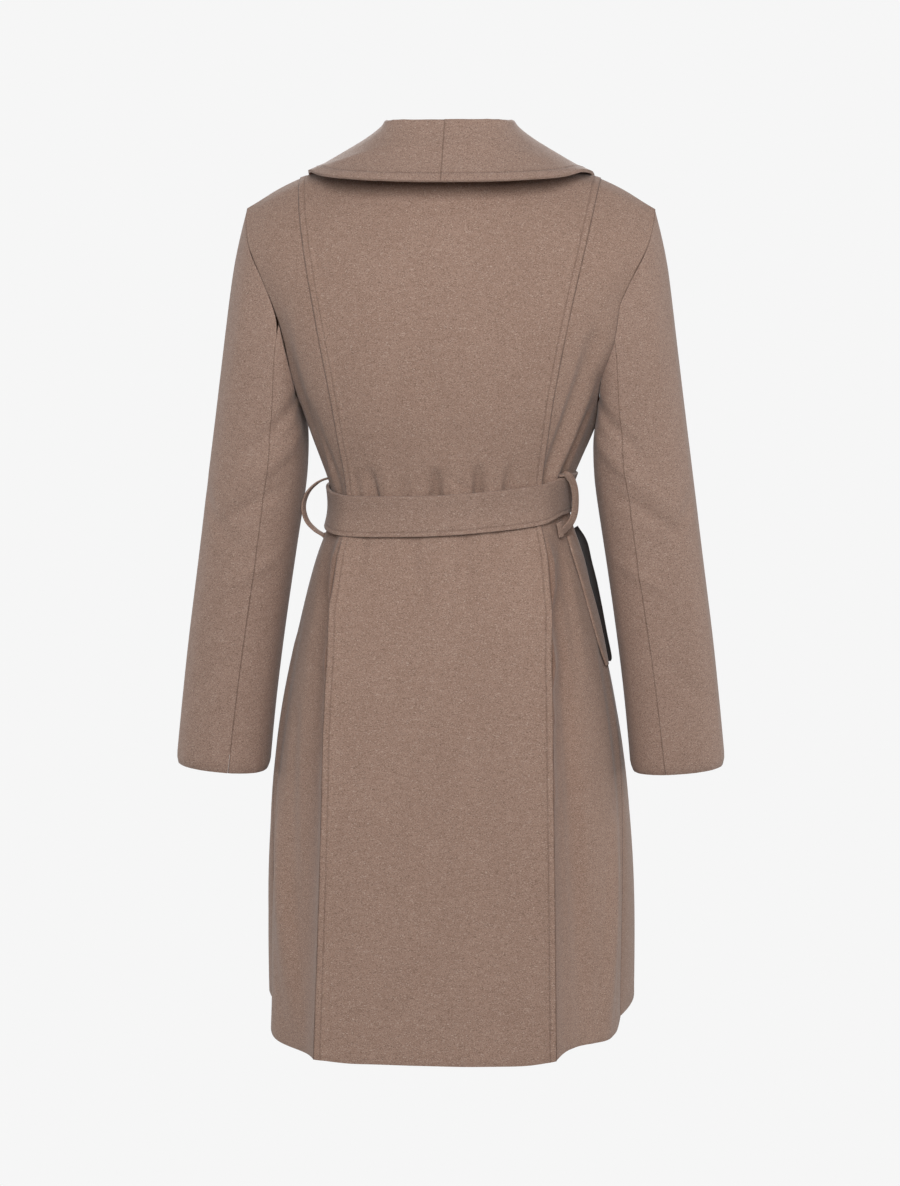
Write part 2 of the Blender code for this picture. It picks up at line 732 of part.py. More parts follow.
def collar_section(run, side):
    """Points across the collar: up its stand, over the roll and down the fall."""
    wrapped = side < 0
    foot, normal = collar_foot(run, wrapped)
    after = collar_foot(min(run + RUN_STEP, 1.0), wrapped)[0]
    before = collar_foot(max(run - RUN_STEP, 0.0), wrapped)[0]
    along = (after - before).normalized()
    hug = COLLAR.at("hug", run)
    rise = Vector([COLLAR.at(name, run) for name in ("rise_x", "rise_y", "rise_z")])
    rise = rise.normalized().lerp(along.cross(normal).normalized(), hug)
    rise = (rise - along * rise.dot(along)).normalized()
    if run == 0.0:
        rise.x = 0.0
        along = Vector((1, 0, 0))
    out = rise.cross(along).normalized()
    radius = ROLL_RADIUS[side]
    top = foot + rise * COLLAR.at("stand", run)
    points = []
    for column in range(STAND_COLUMNS):
        points.append(foot.lerp(top, column / STAND_COLUMNS))
    for column in range(ROLL_COLUMNS):
        turn = math.pi * column / ROLL_COLUMNS
        points.append(top + out * radius * (1 - math.cos(turn)) + rise * radius * math.sin(turn))
    start = top + out * 2 * radius
    edge = collar_edge(run, wrapped)
    drop = (edge - start).length
    curve = (start, start - rise * drop * FALL_START, edge.lerp(start, FALL_END), edge)
    for column in range(FALL_COLUMNS + 1):
        t = column / FALL_COLUMNS
        point = bezier(curve, t)
        height, face = trunk_face(point, wrapped)
        least = FALL_CLEARANCE + COLLAR_CLOTH
        rolled = 2 * radius + FOOT_GAP
        wanted = rolled + (least - rolled) * ease(0.0, ROLL_SETTLES, t)
        move = max((wanted - height) * hug, least - height)
        points.append(point + face * move)
    return points


def build_collar(side, name):
    rows = [collar_section(run * COLLAR_END[side], side) for run in stretched(COLLAR_STRETCHES)]
    last = len(rows[0]) - 1
    end = len(rows) - 1

    def place(u, v):
        column = round(u * last)
        row = round(v * end)
        across = rows[row][min(column + 1, last)] - rows[row][max(column - 1, 0)]
        along = rows[min(row + 1, end)][column] - rows[max(row - 1, 0)][column]
        normal = along.cross(across).normalized()
        outer = rows[row][column].copy()
        if row == 0:
            normal.x = 0.0
            normal.normalize()
            outer.x = SEAM_GAP / 2
        inner = outer - normal * COLLAR_CLOTH
        return mirrored(outer, side), mirrored(inner, side)
    cloth_wall(name, last, end, place)


def armhole_point(round_place):
    """A point of the armhole's outer edge, round from the shoulder by the back."""
    level = UNDERARM * (1 - math.cos(2 * math.pi * round_place)) / 2
    edge = BACK_EDGE if round_place <= 0.5 else FRONT_EDGE
    x = edge.at("x", level)
    height = SHOULDER.at("height", x) * (1 - ease(0.0, UNDERARM, level)) - level
    return Vector((x, edge.at("y", level), height))


def sleeve_ring(round_place, run):
    """A point of the plain sleeve, a rounded tube between its two outlines."""
    outer = Vector((SLEEVE.at("outer_x", run), 0, SLEEVE.at("outer_z", run)))
    inner = Vector((SLEEVE.at("inner_x", run), 0, SLEEVE.at("inner_z", run)))
    turn = 2 * math.pi * round_place
    out = math.copysign(abs(math.cos(turn)) ** (2 / SLEEVE_SQUARE), math.cos(turn))
    back = math.copysign(abs(math.sin(turn)) ** (2 / SLEEVE_SQUARE), math.sin(turn))
    point = (outer + inner) / 2 + (outer - inner) / 2 * out
    point.y = SLEEVE.at("centre_y", run) + SLEEVE.at("half_depth", run) * back
    return point


def armhole_axis():
    """Square to the armhole, towards the arm."""
    down = sleeve_ring(0.5, 0.0) - sleeve_ring(0.0, 0.0)
    return down.cross(Vector((0, 1, 0))).normalized()


def sleeve_point(round_place, run):
    point = sleeve_ring(round_place, run)
    near = 1 - ease(0.0, SLEEVE_BLEND, run)
    if near > 0:
        point += (armhole_point(round_place) - sleeve_ring(round_place, 0.0)) * near
    return point + armhole_axis() * SEAM_GAP


def sleeve_wall(round_place, run, aside=0):
    """The sleeve's outer and inner point; aside is 1 or -1 where a panel meets a seam."""
    ahead = sleeve_point((round_place + ROUND_STEP) % 1, run)
    across = ahead - sleeve_point((round_place - ROUND_STEP) % 1, run)
    after = sleeve_point(round_place, min(run + ROUND_STEP, 1.0))
    along = after - sleeve_point(round_place, max(run - ROUND_STEP, 0.0))
    normal = along.cross(across).normalized()
    if run == 0.0:
        axis = armhole_axis()
        normal = (normal - axis * normal.dot(axis)).normalized()
    outer = sleeve_point(round_place, run) + across.normalized() * (aside * SLEEVE_STEP)
    return outer, outer - normal * CLOTH


def armhole_rounds():
    """Places round the armhole that meet the trunk's rows, behind and then in front."""
    rounds = []
    for level in LEVELS:
        if level <= UNDERARM + 1e-9:
            share = max(1 - 2 * level / UNDERARM, -1.0)
            rounds.append(math.acos(share) / (2 * math.pi))
    return rounds + [1 - place for place in reversed(rounds[:-1])]


def build_sleeve(side, label):
    rounds = armhole_rounds()
    half = len(rounds) // 2
    hind_column = HIND_SEAM_ROW
    front_column = 2 * half - FRONT_SEAM_ROW

    def seam_scaled(column, run):
        """A column's place round the sleeve, with the seams' columns on the seams."""
        hind = HIND_SEAM.at("round", run)
        front = FRONT_SEAM.at("round", run)
        hind_start = rounds[hind_column]
        front_start = rounds[front_column]
        place = rounds[column]
        if column <= hind_column:
            return place * hind / hind_start
        if column >= front_column:
            return 1 - (1 - place) * (1 - front) / (1 - front_start)
        share = (place - hind_start) / (front_start - hind_start)
        return hind + (front - hind) * share

    def build(name, columns):
        count = len(columns) - 1

        def place(u, v):
            index = round(u * count)
            aside = {0: 1, count: -1}.get(index, 0)
            outer, inner = sleeve_wall(seam_scaled(columns[index], v), v, aside)
            shift = Vector((-SLEEVE_DRAWN_IN[side], 0.0, SLEEVE_RAISED[side])) * v
            return mirrored(outer + shift, side), mirrored(inner + shift, side)
        cloth_wall(name, count, SLEEVE_ROWS, place)

    under = list(range(hind_column, front_column + 1))
    top = list(range(front_column, 2 * half)) + list(range(0, hind_column + 1))
    build("sleeve_under_" + label, under)
    build("sleeve_top_" + label, top)


def front_place(x, level):
    """The trunk's around at x on the wrapped right front, which may pass the centre."""
    return -around_at(-x, level)


def belt_layer(around, level, lift, cloth):
    """A band's outer and inner point, moved out of the trunk and over the wrapped fronts."""
    x = abs(form(around, level).x)
    extra = wrap_lift(x, level) if abs(around) > 2 else 0.0
    outer = form(around, level, extra + lift + cloth)
    normal = form_normal(around, level, extra + lift + cloth)
    return outer, outer - normal * cloth


def build_belt():
    start = around_at(KNOT_X + SEAM_GAP, WAIST)
    end = front_place(KNOT_X - SEAM_GAP, WAIST)
    places = stretched([
        # start, end, segments
        (start, 2, 12),
        (2, 1, 7),
        (1, -1, 14),
        (-1, -2, 7),
        (-2, -3, 12),
        (-3, end, 2),
    ])

    def place(u, v):
        around = places[round(u * (len(places) - 1))]
        level = BELT_LINE.at("level", around) + (v - 0.5) * BELT_WIDTH
        return belt_layer(around, level, BELT_CLEARANCE, BELT_CLOTH)
    cloth_wall("belt_band", len(places) - 1, BELT_ROWS, place)


def build_knot():
    level = BELT_LINE.at("level", 3.0)
    foremost = 0.0
    for down in np.linspace(-0.5, 0.5, 9) * BELT_WIDTH:
        for out in np.linspace(-1.0, 1.0, 5) * KNOT_HALF[0]:
            around = front_place(KNOT_X + out, level + down)
            outer, _ = belt_layer(around, level + down, BELT_CLEARANCE, BELT_CLOTH)
            foremost = min(foremost, outer.y)
    centre = form(3.0, level)
    centre.x = KNOT_X
    centre.y = foremost + KNOT_SET_BACK - KNOT_HALF[1]
    shape = bmesh.new()
    bmesh.ops.create_cube(shape, size=2.0)
    bmesh.ops.scale(shape, vec=KNOT_HALF, verts=shape.verts[:])
    bmesh.ops.bevel(
        shape, geom=shape.edges[:], offset=KNOT_EDGE, segments=3, profile=0.5,
        affect="EDGES", material=-1)
    bmesh.ops.translate(shape, vec=centre, verts=shape.verts[:])
    add_object("belt_knot", shape)


def build_tail(name, line):
    def place(u, v):
        level = line.at("level", v)
        x = line.at("x", v) + (u - 0.5) * line.at("width", v)
        around = front_place(x, level)
        lift = wrap_lift(abs(x), level) + TAIL_CLEARANCE + BELT_CLOTH + line.at("out", v)
        outer = form(around, level, lift)
        return outer, outer - form_normal(around, level, lift) * BELT_CLOTH
    cloth_wall(name, TAIL_COLUMNS, TAIL_ROWS, place)


def build_loop(side, name, line):
    around = LOOP_AROUND[side]

    def middle(run):
        return form(around, line.at("level", run), line.at("out", run))

    def place(u, v):
        along = (middle(min(v + RUN_STEP, 1)) - middle(max(v - RUN_STEP, 0))).normalized()
        width = form(around + SEAM_STEP, WAIST) - form(around - SEAM_STEP, WAIST)
        width.z = 0.0
        width.normalize()
        normal = width.cross(along).normalized()
        point = middle(v) + width * (u - 0.5) * LOOP_WIDTH
        return point, point - normal * LOOP_CLOTH
    cloth_wall(name, LOOP_COLUMNS, LOOP_SEGMENTS, place)


def build_pocket_welt():
    start, end = WELT_PLACES

    def place(u, v):
        level = POCKET_TOP + (POCKET_BOTTOM - POCKET_TOP) * v
        around = -(start + (end - start) * u)
        open_out = WELT_GAPE * u * math.sin(math.pi * v)
        lift = WELT_CLEARANCE + open_out + WELT_CLOTH
        outer = form(around, level, lift)
        return outer, outer - form_normal(around, level, lift) * WELT_CLOTH
    cloth_wall("pocket_welt_right", POCKET_COLUMNS, POCKET_ROWS, place)


def build_pocket_lining():
    start, end = LINING_PLACES

    def place(u, v):
        level = POCKET_TOP + (POCKET_BOTTOM - POCKET_TOP) * v
        around = -(start + (end - start) * u)
        least, most = LINING_LIFT
        lift = least + (most - least) * math.sin(math.pi * v)
        outer = form(around, level, lift)
        return outer, outer - form_normal(around, level, lift) * LINING_CLOTH
    cloth_wall("pocket_lining_right", POCKET_COLUMNS, POCKET_ROWS, place, POCKETING)


def clear_scene():
    for item in list(bpy.data.objects):
        bpy.data.objects.remove(item, do_unlink=True)
    collection = bpy.data.collections.new(COLLECTION)
    bpy.context.scene.collection.children.link(collection)


def main():
    clear_scene()
    build_back_centre()
    build_back_side(1, "back_side_left")
    build_back_side(-1, "back_side_right")
    build_front(1, "front_left")
    build_front(-1, "front_right")
    build_collar(1, "collar_left")
    build_collar(-1, "collar_right")
    build_sleeve(1, "left")
    build_sleeve(-1, "right")
    build_belt()
    build_knot()
    build_tail("belt_tail_left", TAIL_LEFT)
    build_tail("belt_tail_right", TAIL_RIGHT)
    build_loop(1, "belt_loop_left", LOOP_LEFT)
    build_loop(-1, "belt_loop_right", LOOP_RIGHT)
    build_pocket_welt()
    build_pocket_lining()


main()
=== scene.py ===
"""Looks for a belted wrap coat in brushed melange wool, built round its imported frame.

Metres, +Z up. The back of the coat faces +Y and the wearer's left is +X. Each cloth piece
starts as a merged copy of its frame node's wall, is made finer, gets its soft folds, and
then its turned edges, its seam measures and its sewing. The belt loops, the knot and the
pocket's two pieces are modelled afresh.
"""

import math

import bmesh
import bpy
import numpy as np
from bpy.props import FloatProperty, FloatVectorProperty, IntProperty, PointerProperty
from mathutils import Matrix, Vector
from mathutils.bvhtree import BVHTree
from mathutils.kdtree import KDTree


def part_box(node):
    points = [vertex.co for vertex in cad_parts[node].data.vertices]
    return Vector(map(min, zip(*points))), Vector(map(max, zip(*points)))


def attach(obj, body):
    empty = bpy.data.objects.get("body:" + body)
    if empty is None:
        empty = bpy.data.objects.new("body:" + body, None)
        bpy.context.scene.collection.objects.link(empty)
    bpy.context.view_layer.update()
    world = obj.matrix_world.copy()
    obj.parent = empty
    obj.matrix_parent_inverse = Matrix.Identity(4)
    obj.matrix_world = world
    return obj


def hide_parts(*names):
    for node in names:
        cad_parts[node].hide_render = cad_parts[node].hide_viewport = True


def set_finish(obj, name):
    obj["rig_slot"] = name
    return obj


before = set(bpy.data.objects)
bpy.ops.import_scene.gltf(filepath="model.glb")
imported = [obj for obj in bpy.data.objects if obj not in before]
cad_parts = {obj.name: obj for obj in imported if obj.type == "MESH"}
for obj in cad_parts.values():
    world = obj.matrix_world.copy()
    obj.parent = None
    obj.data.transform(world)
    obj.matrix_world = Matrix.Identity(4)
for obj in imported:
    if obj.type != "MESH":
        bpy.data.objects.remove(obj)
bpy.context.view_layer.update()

bl_info = {
    "name": "Belted Wrap Coat",
    "version": (1, 0, 0),
    "blender": (4, 5, 0),
    "location": "View3D > Sidebar > Coat",
    "description": "Dresses the coat's frame with fine cloth pieces, sewing and a plain studio",
    "category": "Object",
}

MM = 0.001

# Frame meshes: what is one point, one face of the grid, and one side of the wall
WELD = 0.01 * MM
GRID_ANGLE = math.radians(25)
RIM_ANGLE = math.radians(50)
OUTSIDE, INSIDE = 0, 1

# The unrolled place of a point is its turn round the body, times a mean radius. The trunk
# is wider than it is deep, so its depth is stretched first.
BODY_RADIUS = 0.14
BODY_DEPTH = 1.15
NEAR_ZERO = 1e-6

# A fold's height follows half a sine wave, of which its own length is the middle part
WAVE_START = 0.12
WAVE_SPAN = 0.76


def fold_table(rows):
    """Rows of (u0, z0, u1, z1, half_width, height) as one array."""
    return np.array(rows, dtype=float).reshape(-1, 6)


# Soft folds of the trunk, from (u0, z0) to (u1, z1) in unrolled places. A ridge has a
# positive height and a trough a negative one, and each is highest midway.
BACK_FOLDS = fold_table([
    # puckers held in by the belt
    (0.1050, -0.362, 0.1040, -0.306, 0.007, -1.6 * MM),
    (0.0857, -0.364, 0.0850, -0.306, 0.010, -6.5 * MM),
    (0.0700, -0.355, 0.0660, -0.296, 0.008, 1.6 * MM),
    (0.0480, -0.362, 0.0450, -0.312, 0.011, -2.4 * MM),
    (0.0089, -0.364, 0.0060, -0.306, 0.012, -9.0 * MM),
    (-0.0180, -0.355, -0.0150, -0.288, 0.011, 2.2 * MM),
    (-0.0479, -0.360, -0.0440, -0.302, 0.010, -8.0 * MM),
    (-0.0640, -0.355, -0.0600, -0.298, 0.008, 1.6 * MM),
    (-0.0816, -0.355, -0.0780, -0.300, 0.009, -5.0 * MM),
    # the cloth below the belt
    (0.0950, -0.360, 0.0850, -0.425, 0.011, -2.0 * MM),
    (0.0350, -0.365, 0.0300, -0.420, 0.013, -2.4 * MM),
    (0.0060, -0.365, 0.0040, -0.455, 0.014, 1.8 * MM),
    (-0.0300, -0.360, -0.0260, -0.440, 0.013, -3.0 * MM),
    (-0.0700, -0.355, -0.0620, -0.420, 0.012, -2.2 * MM),
    # a crease by the right shoulder blade, and long soft drapes
    (-0.0050, -0.307, -0.0330, -0.323, 0.006, -1.4 * MM),
    (0.0200, -0.180, -0.0200, -0.300, 0.020, -1.5 * MM),
    (-0.0300, -0.160, 0.0350, -0.290, 0.024, 1.2 * MM),
    (0.0500, -0.480, 0.0560, -0.900, 0.022, 2.2 * MM),
    (-0.0350, -0.520, -0.0480, -0.900, 0.026, -2.2 * MM),
    (0.0050, -0.560, 0.0000, -0.900, 0.020, -1.8 * MM),
    (-0.0780, -0.600, -0.0820, -0.900, 0.016, 2.4 * MM),
])
SIDE_FOLDS = fold_table([
    # wearer's left
    (0.1560, -0.130, 0.1520, -0.300, 0.016, -3.0 * MM),
    (0.1400, -0.240, 0.1330, -0.335, 0.010, -2.4 * MM),
    (0.1500, -0.330, 0.1470, -0.290, 0.010, 1.6 * MM),
    (0.1650, -0.640, 0.1080, -0.880, 0.016, 5.0 * MM),
    (0.1480, -0.560, 0.1180, -0.780, 0.012, -3.0 * MM),
    (0.1850, -0.480, 0.1800, -0.880, 0.018, -3.0 * MM),
    (0.2050, -0.500, 0.2080, -0.880, 0.016, 3.0 * MM),
    # wearer's right
    (-0.1420, -0.170, -0.1200, -0.345, 0.013, -7.0 * MM),
    (-0.1560, -0.215, -0.1360, -0.330, 0.009, 3.4 * MM),
    (-0.1700, -0.240, -0.1520, -0.330, 0.011, -4.0 * MM),
    (-0.1180, -0.480, -0.1060, -0.905, 0.013, -3.5 * MM),
    (-0.1650, -0.680, -0.1330, -0.900, 0.014, 5.0 * MM),
    (-0.1900, -0.500, -0.1860, -0.880, 0.016, -3.5 * MM),
    (-0.1450, -0.390, -0.1380, -0.520, 0.012, -2.0 * MM),
    # the side rests against the right sleeve under the arm, and fills the belt loop
    (-0.2250, -0.140, -0.2250, -0.300, 0.035, 6.0 * MM),
    (-0.1610, -0.145, -0.1640, -0.205, 0.020, 6.5 * MM),
    (-0.2000, -0.310, -0.2000, -0.420, 0.030, 4.0 * MM),
])
FRONT_FOLDS = fold_table([
    (0.3600, -0.360, 0.3560, -0.300, 0.012, -6.0 * MM),
    (0.3100, -0.360, 0.3050, -0.290, 0.014, -5.0 * MM),
    (0.2700, -0.355, 0.2720, -0.300, 0.012, 2.4 * MM),
    (-0.2900, -0.360, -0.2850, -0.295, 0.014, -6.0 * MM),
    (-0.3400, -0.360, -0.3300, -0.300, 0.012, -4.8 * MM),
    (-0.2500, -0.355, -0.2480, -0.300, 0.011, 2.4 * MM),
    (0.3800, -0.370, 0.3300, -0.520, 0.014, -3.5 * MM),
    (0.3000, -0.365, 0.2800, -0.480, 0.013, -2.8 * MM),
    (0.3500, -0.520, 0.3300, -0.860, 0.020, 4.5 * MM),
    (0.2900, -0.560, 0.2850, -0.860, 0.018, -4.5 * MM),
    (0.2480, -0.480, 0.2500, -0.870, 0.016, 3.0 * MM),
    (-0.3800, -0.370, -0.3400, -0.520, 0.014, -3.5 * MM),
    (-0.3000, -0.365, -0.2780, -0.500, 0.013, -2.8 * MM),
    (-0.3600, -0.520, -0.3450, -0.860, 0.020, 4.5 * MM),
    (-0.2950, -0.540, -0.2880, -0.860, 0.018, -4.5 * MM),
    (-0.2480, -0.500, -0.2500, -0.870, 0.016, 3.0 * MM),
    (0.4200, -0.420, 0.4150, -0.840, 0.018, -2.6 * MM),
    (-0.4150, -0.420, -0.4100, -0.840, 0.018, -2.6 * MM),
])
FLANK_FOLDS = np.concatenate([SIDE_FOLDS, FRONT_FOLDS])

# Below the belt the centre back stands out as a flat panel, and the side backs turn in
# beside its seams: (z, how far the seam stands out)
SEAM_STAND = np.array([
    (-0.905, 3.0 * MM), (-0.800, 5.5 * MM), (-0.680, 9.0 * MM), (-0.560, 13.5 * MM),
    (-0.440, 13.5 * MM), (-0.395, 8.0 * MM), (-0.365, 0.0),
])
# How far beside the seam they turn in, how deep they dip, and what brings the curve of
# the dip to 1 where it is deepest
TURN_WIDTH = 0.052
TURN_DIP = 8.0 * MM
DIP_PEAK = 27 / 4
# The power with which the painted shade in the hollow weakens away from the seam
HOLLOW_FADE = 1.5
# The heights between which the seams are read from the frame, in how many levels, and
# how far above and below each level points still count
SEAM_SPAN = (-0.90, -0.10)
SEAM_LEVELS = 33
LEVEL_REACH = 0.04

# Roll of the collar, whose top is level from one side of the neck to the other:
# (distance from the middle, rise)
COLLAR_RISE = np.array([
    (0.000, 1.6 * MM), (0.013, 2.6 * MM), (0.024, 3.4 * MM), (0.033, 4.6 * MM),
    (0.043, 6.0 * MM), (0.054, 6.0 * MM), (0.060, 4.6 * MM), (0.064, 2.9 * MM),
    (0.068, 1.4 * MM), (0.073, 1.1 * MM), (0.080, 0.6 * MM), (0.090, 0.0),
])
# The rise is whole from the first height up, and fades out over the second below it
COLLAR_TOP = 0.047
COLLAR_FADE = 0.036
COLLAR_LAP = 0.6 * MM

# Folds of a sleeve in (turn round its own axis in metres, z); turn 0 faces outwards and
# grows towards the back
SLEEVE_RADIUS = 0.05
# The left sleeve's axis, from low to high, which the right one mirrors
SLEEVE_AXIS = (np.array([0.245, 0.0, -0.634]), np.array([0.186, 0.0, -0.150]))
SLEEVE_FOLDS = fold_table([
    (0.125, -0.225, 0.075, -0.300, 0.011, -3.0 * MM),
    (0.130, -0.270, 0.060, -0.345, 0.012, 2.4 * MM),
    (0.110, -0.330, 0.050, -0.372, 0.011, -2.6 * MM),
    (0.020, -0.330, 0.075, -0.395, 0.012, -1.8 * MM),
    (0.120, -0.400, 0.060, -0.440, 0.012, 2.0 * MM),
    (0.090, -0.500, 0.030, -0.560, 0.014, -1.6 * MM),
    (0.055, -0.090, 0.060, -0.230, 0.014, 1.8 * MM),
    (-0.130, -0.240, -0.070, -0.310, 0.012, -3.2 * MM),
    (-0.125, -0.300, -0.055, -0.360, 0.012, 2.6 * MM),
    (-0.110, -0.360, -0.045, -0.420, 0.012, -2.6 * MM),
    (-0.060, -0.480, -0.100, -0.560, 0.014, 1.8 * MM),
])

# How far up a cuff rolls in, and how far in its edge comes
CUFF_ROLL = 10 * MM
CUFF_TURN = 2.6 * MM

# A lapped edge stands up in full as far as its stitches, and falls off past them; both are
# shares of the stitches' inset
LAP_END = 1.7
LAP_FALL = 0.7
# Pitch of the points along an edge from which places are measured: for shaping, and for
# the measures that the materials read, which go no further than the reach
EDGE_PITCH = 1.5 * MM
MEASURE_PITCH = 1.0 * MM
SEAM_REACH = 0.030
# Height of a stitch's middle over the cloth, as a share of the thread's radius
STITCH_RISE = 0.3

# The loops stand clear of the belt at both sides. Each path runs along the middle of the
# strap, and the face vector across its width.
LOOP_PATHS = {
    "belt_loop_left": (
        (0.30, 0.954, 0.0),
        [(0.1216, 0.0120, -0.3234), (0.1293, 0.0100, -0.3232), (0.1402, 0.0080, -0.3283),
         (0.1505, 0.0070, -0.3392), (0.1549, 0.0065, -0.3542), (0.1512, 0.0075, -0.3685),
         (0.1420, 0.0090, -0.3782), (0.1327, 0.0110, -0.3837), (0.1280, 0.0150, -0.3890),
         (0.1290, 0.0180, -0.3960)]),
    "belt_loop_right": (
        (-0.62, -0.785, 0.0),
        [(-0.1168, 0.0600, -0.3112), (-0.1248, 0.0545, -0.3122), (-0.1302, 0.0490, -0.3175),
         (-0.1335, 0.0450, -0.3283), (-0.1342, 0.0430, -0.3411), (-0.1333, 0.0440, -0.3525),
         (-0.1299, 0.0480, -0.3614), (-0.1240, 0.0530, -0.3681), (-0.1186, 0.0575, -0.3727)]),
}
# The loops' lower ends, folded up and stitched down as a small square
LOOP_TABS = {
    "belt_loop_left": [
        (0.1289, 0.0215, -0.3790), (0.1292, 0.0220, -0.3845), (0.1305, 0.0230, -0.3910)],
    "belt_loop_right": [
        (-0.1206, 0.0585, -0.3758), (-0.1194, 0.0585, -0.3680), (-0.1180, 0.0592, -0.3600)],
}
LOOP_WIDTH = 9.5 * MM
LOOP_THICKNESS = 2.4 * MM
TAB_WIDTH = 0.8 * LOOP_WIDTH
LOOP_STEPS = 72
TAB_STEPS = 24
# Section of a strap: its points, how square its face and its edges are, the height of its
# two ridges, and what its thickness is divided by so that they stay within it
STRAP_SIDES = 20
STRAP_FACE = 0.35
STRAP_EDGE = 0.6
STRAP_RIDGE = 0.18
STRAP_DIVISOR = 2.3

# Mouth of the gaping pocket: matching points down the outer and the inner side of the
# pocketing and of the welt
POCKET_LINING = (
    [(-0.1340, -0.0180, -0.3740), (-0.1440, -0.0180, -0.3900), (-0.1497, -0.0180, -0.4127),
     (-0.1552, -0.0180, -0.4340), (-0.1604, -0.0180, -0.4587), (-0.1660, -0.0180, -0.4877),
     (-0.1712, -0.0170, -0.5124), (-0.1706, -0.0160, -0.5187)],
    [(-0.1264, -0.0120, -0.3779), (-0.1307, -0.0120, -0.3938), (-0.1351, -0.0120, -0.4119),
     (-0.1416, -0.0120, -0.4333), (-0.1471, -0.0120, -0.4579), (-0.1530, -0.0120, -0.4868),
     (-0.1590, -0.0120, -0.5116), (-0.1600, -0.0120, -0.5180)],
)
POCKET_WELT = (
    [(-0.1290, 0.0340, -0.3775), (-0.1375, 0.0270, -0.3968), (-0.1458, 0.0205, -0.4209),
     (-0.1529, 0.0125, -0.4456), (-0.1594, 0.0095, -0.4714), (-0.1644, 0.0060, -0.4971),
     (-0.1678, 0.0080, -0.5160)],
    [(-0.1255, 0.0412, -0.3771), (-0.1322, 0.0466, -0.3972), (-0.1407, 0.0454, -0.4246),
     (-0.1481, 0.0440, -0.4510), (-0.1555, 0.0413, -0.4777), (-0.1629, 0.0340, -0.5032),
     (-0.1672, 0.0270, -0.5160)],
)
WELT_THICKNESS = 2.4 * MM
WELT_CROWN = 0.8 * MM
LINING_THICKNESS = 1.0 * MM
LINING_CROWN = 1.5 * MM
# A sheet's faces down and across, and its thickness at its edges as a share
SHEET_ROWS = 72
SHEET_COLUMNS = 10
SHEET_EDGE = 0.45

# The knot: how finely it is cut, how square it is, the slant, number and depth of the
# folds drawn across it, and its waist
KNOT_CUTS = 30
KNOT_SQUARENESS = 4
KNOT_SLANT = (0.9, 0.45)
KNOT_FOLDS = 9.0
KNOT_TWIST = 1.3
KNOT_DRAW = 0.10
KNOT_WAIST = 0.12
WAIST_NARROWNESS = 6.0

# Levels to which the fronts' cloth is made finer, against the other pieces' fineness
FRONT_LEVELS = 2


class CoatCloth(bpy.types.PropertyGroup):
    """Colours and finish of the cloth."""

    body_colour: FloatVectorProperty(
        name="Body", description="Wool of the trunk, as linear colour",
        subtype="COLOR", size=3, default=(0.335, 0.222, 0.171))
    collar_colour: FloatVectorProperty(
        name="Collar", description="Wool of the collar, as linear colour",
        subtype="COLOR", size=3, default=(0.342, 0.231, 0.182))
    sleeve_colour: FloatVectorProperty(
        name="Sleeves", description="Wool of the sleeves, as linear colour",
        subtype="COLOR", size=3, default=(0.342, 0.231, 0.182))
    belt_colour: FloatVectorProperty(
        name="Belt", description="Wool of the belt and its loops, as linear colour",
        subtype="COLOR", size=3, default=(0.325, 0.218, 0.170))
    thread_colour: FloatVectorProperty(
        name="Thread", description="Sewing thread, as linear colour",
        subtype="COLOR", size=3, default=(0.215, 0.140, 0.108))
    pocketing_colour: FloatVectorProperty(
        name="Pocketing", description="Dark cloth inside the pocket, as linear colour",
        subtype="COLOR", size=3, default=(0.010, 0.008, 0.008))
    fleck_size: FloatProperty(
        name="Fleck size", description="Length of a light or dark fleck in the melange",
        subtype="DISTANCE", default=1.05 * MM, min=0.2 * MM, max=10 * MM)
    fleck_contrast: FloatProperty(
        name="Fleck contrast", description="How far the flecks depart from the ground colour",
        subtype="FACTOR", default=0.68, min=0.0, max=1.0)
    nap_depth: FloatProperty(
        name="Nap depth", description="Height of the brushed surface",
        subtype="DISTANCE", default=0.35 * MM, min=0.0, max=2 * MM)
    sheen: FloatProperty(
        name="Sheen", description="Soft bloom of the brushed fibres at a glancing angle",
        subtype="FACTOR", default=0.16, min=0.0, max=1.0)


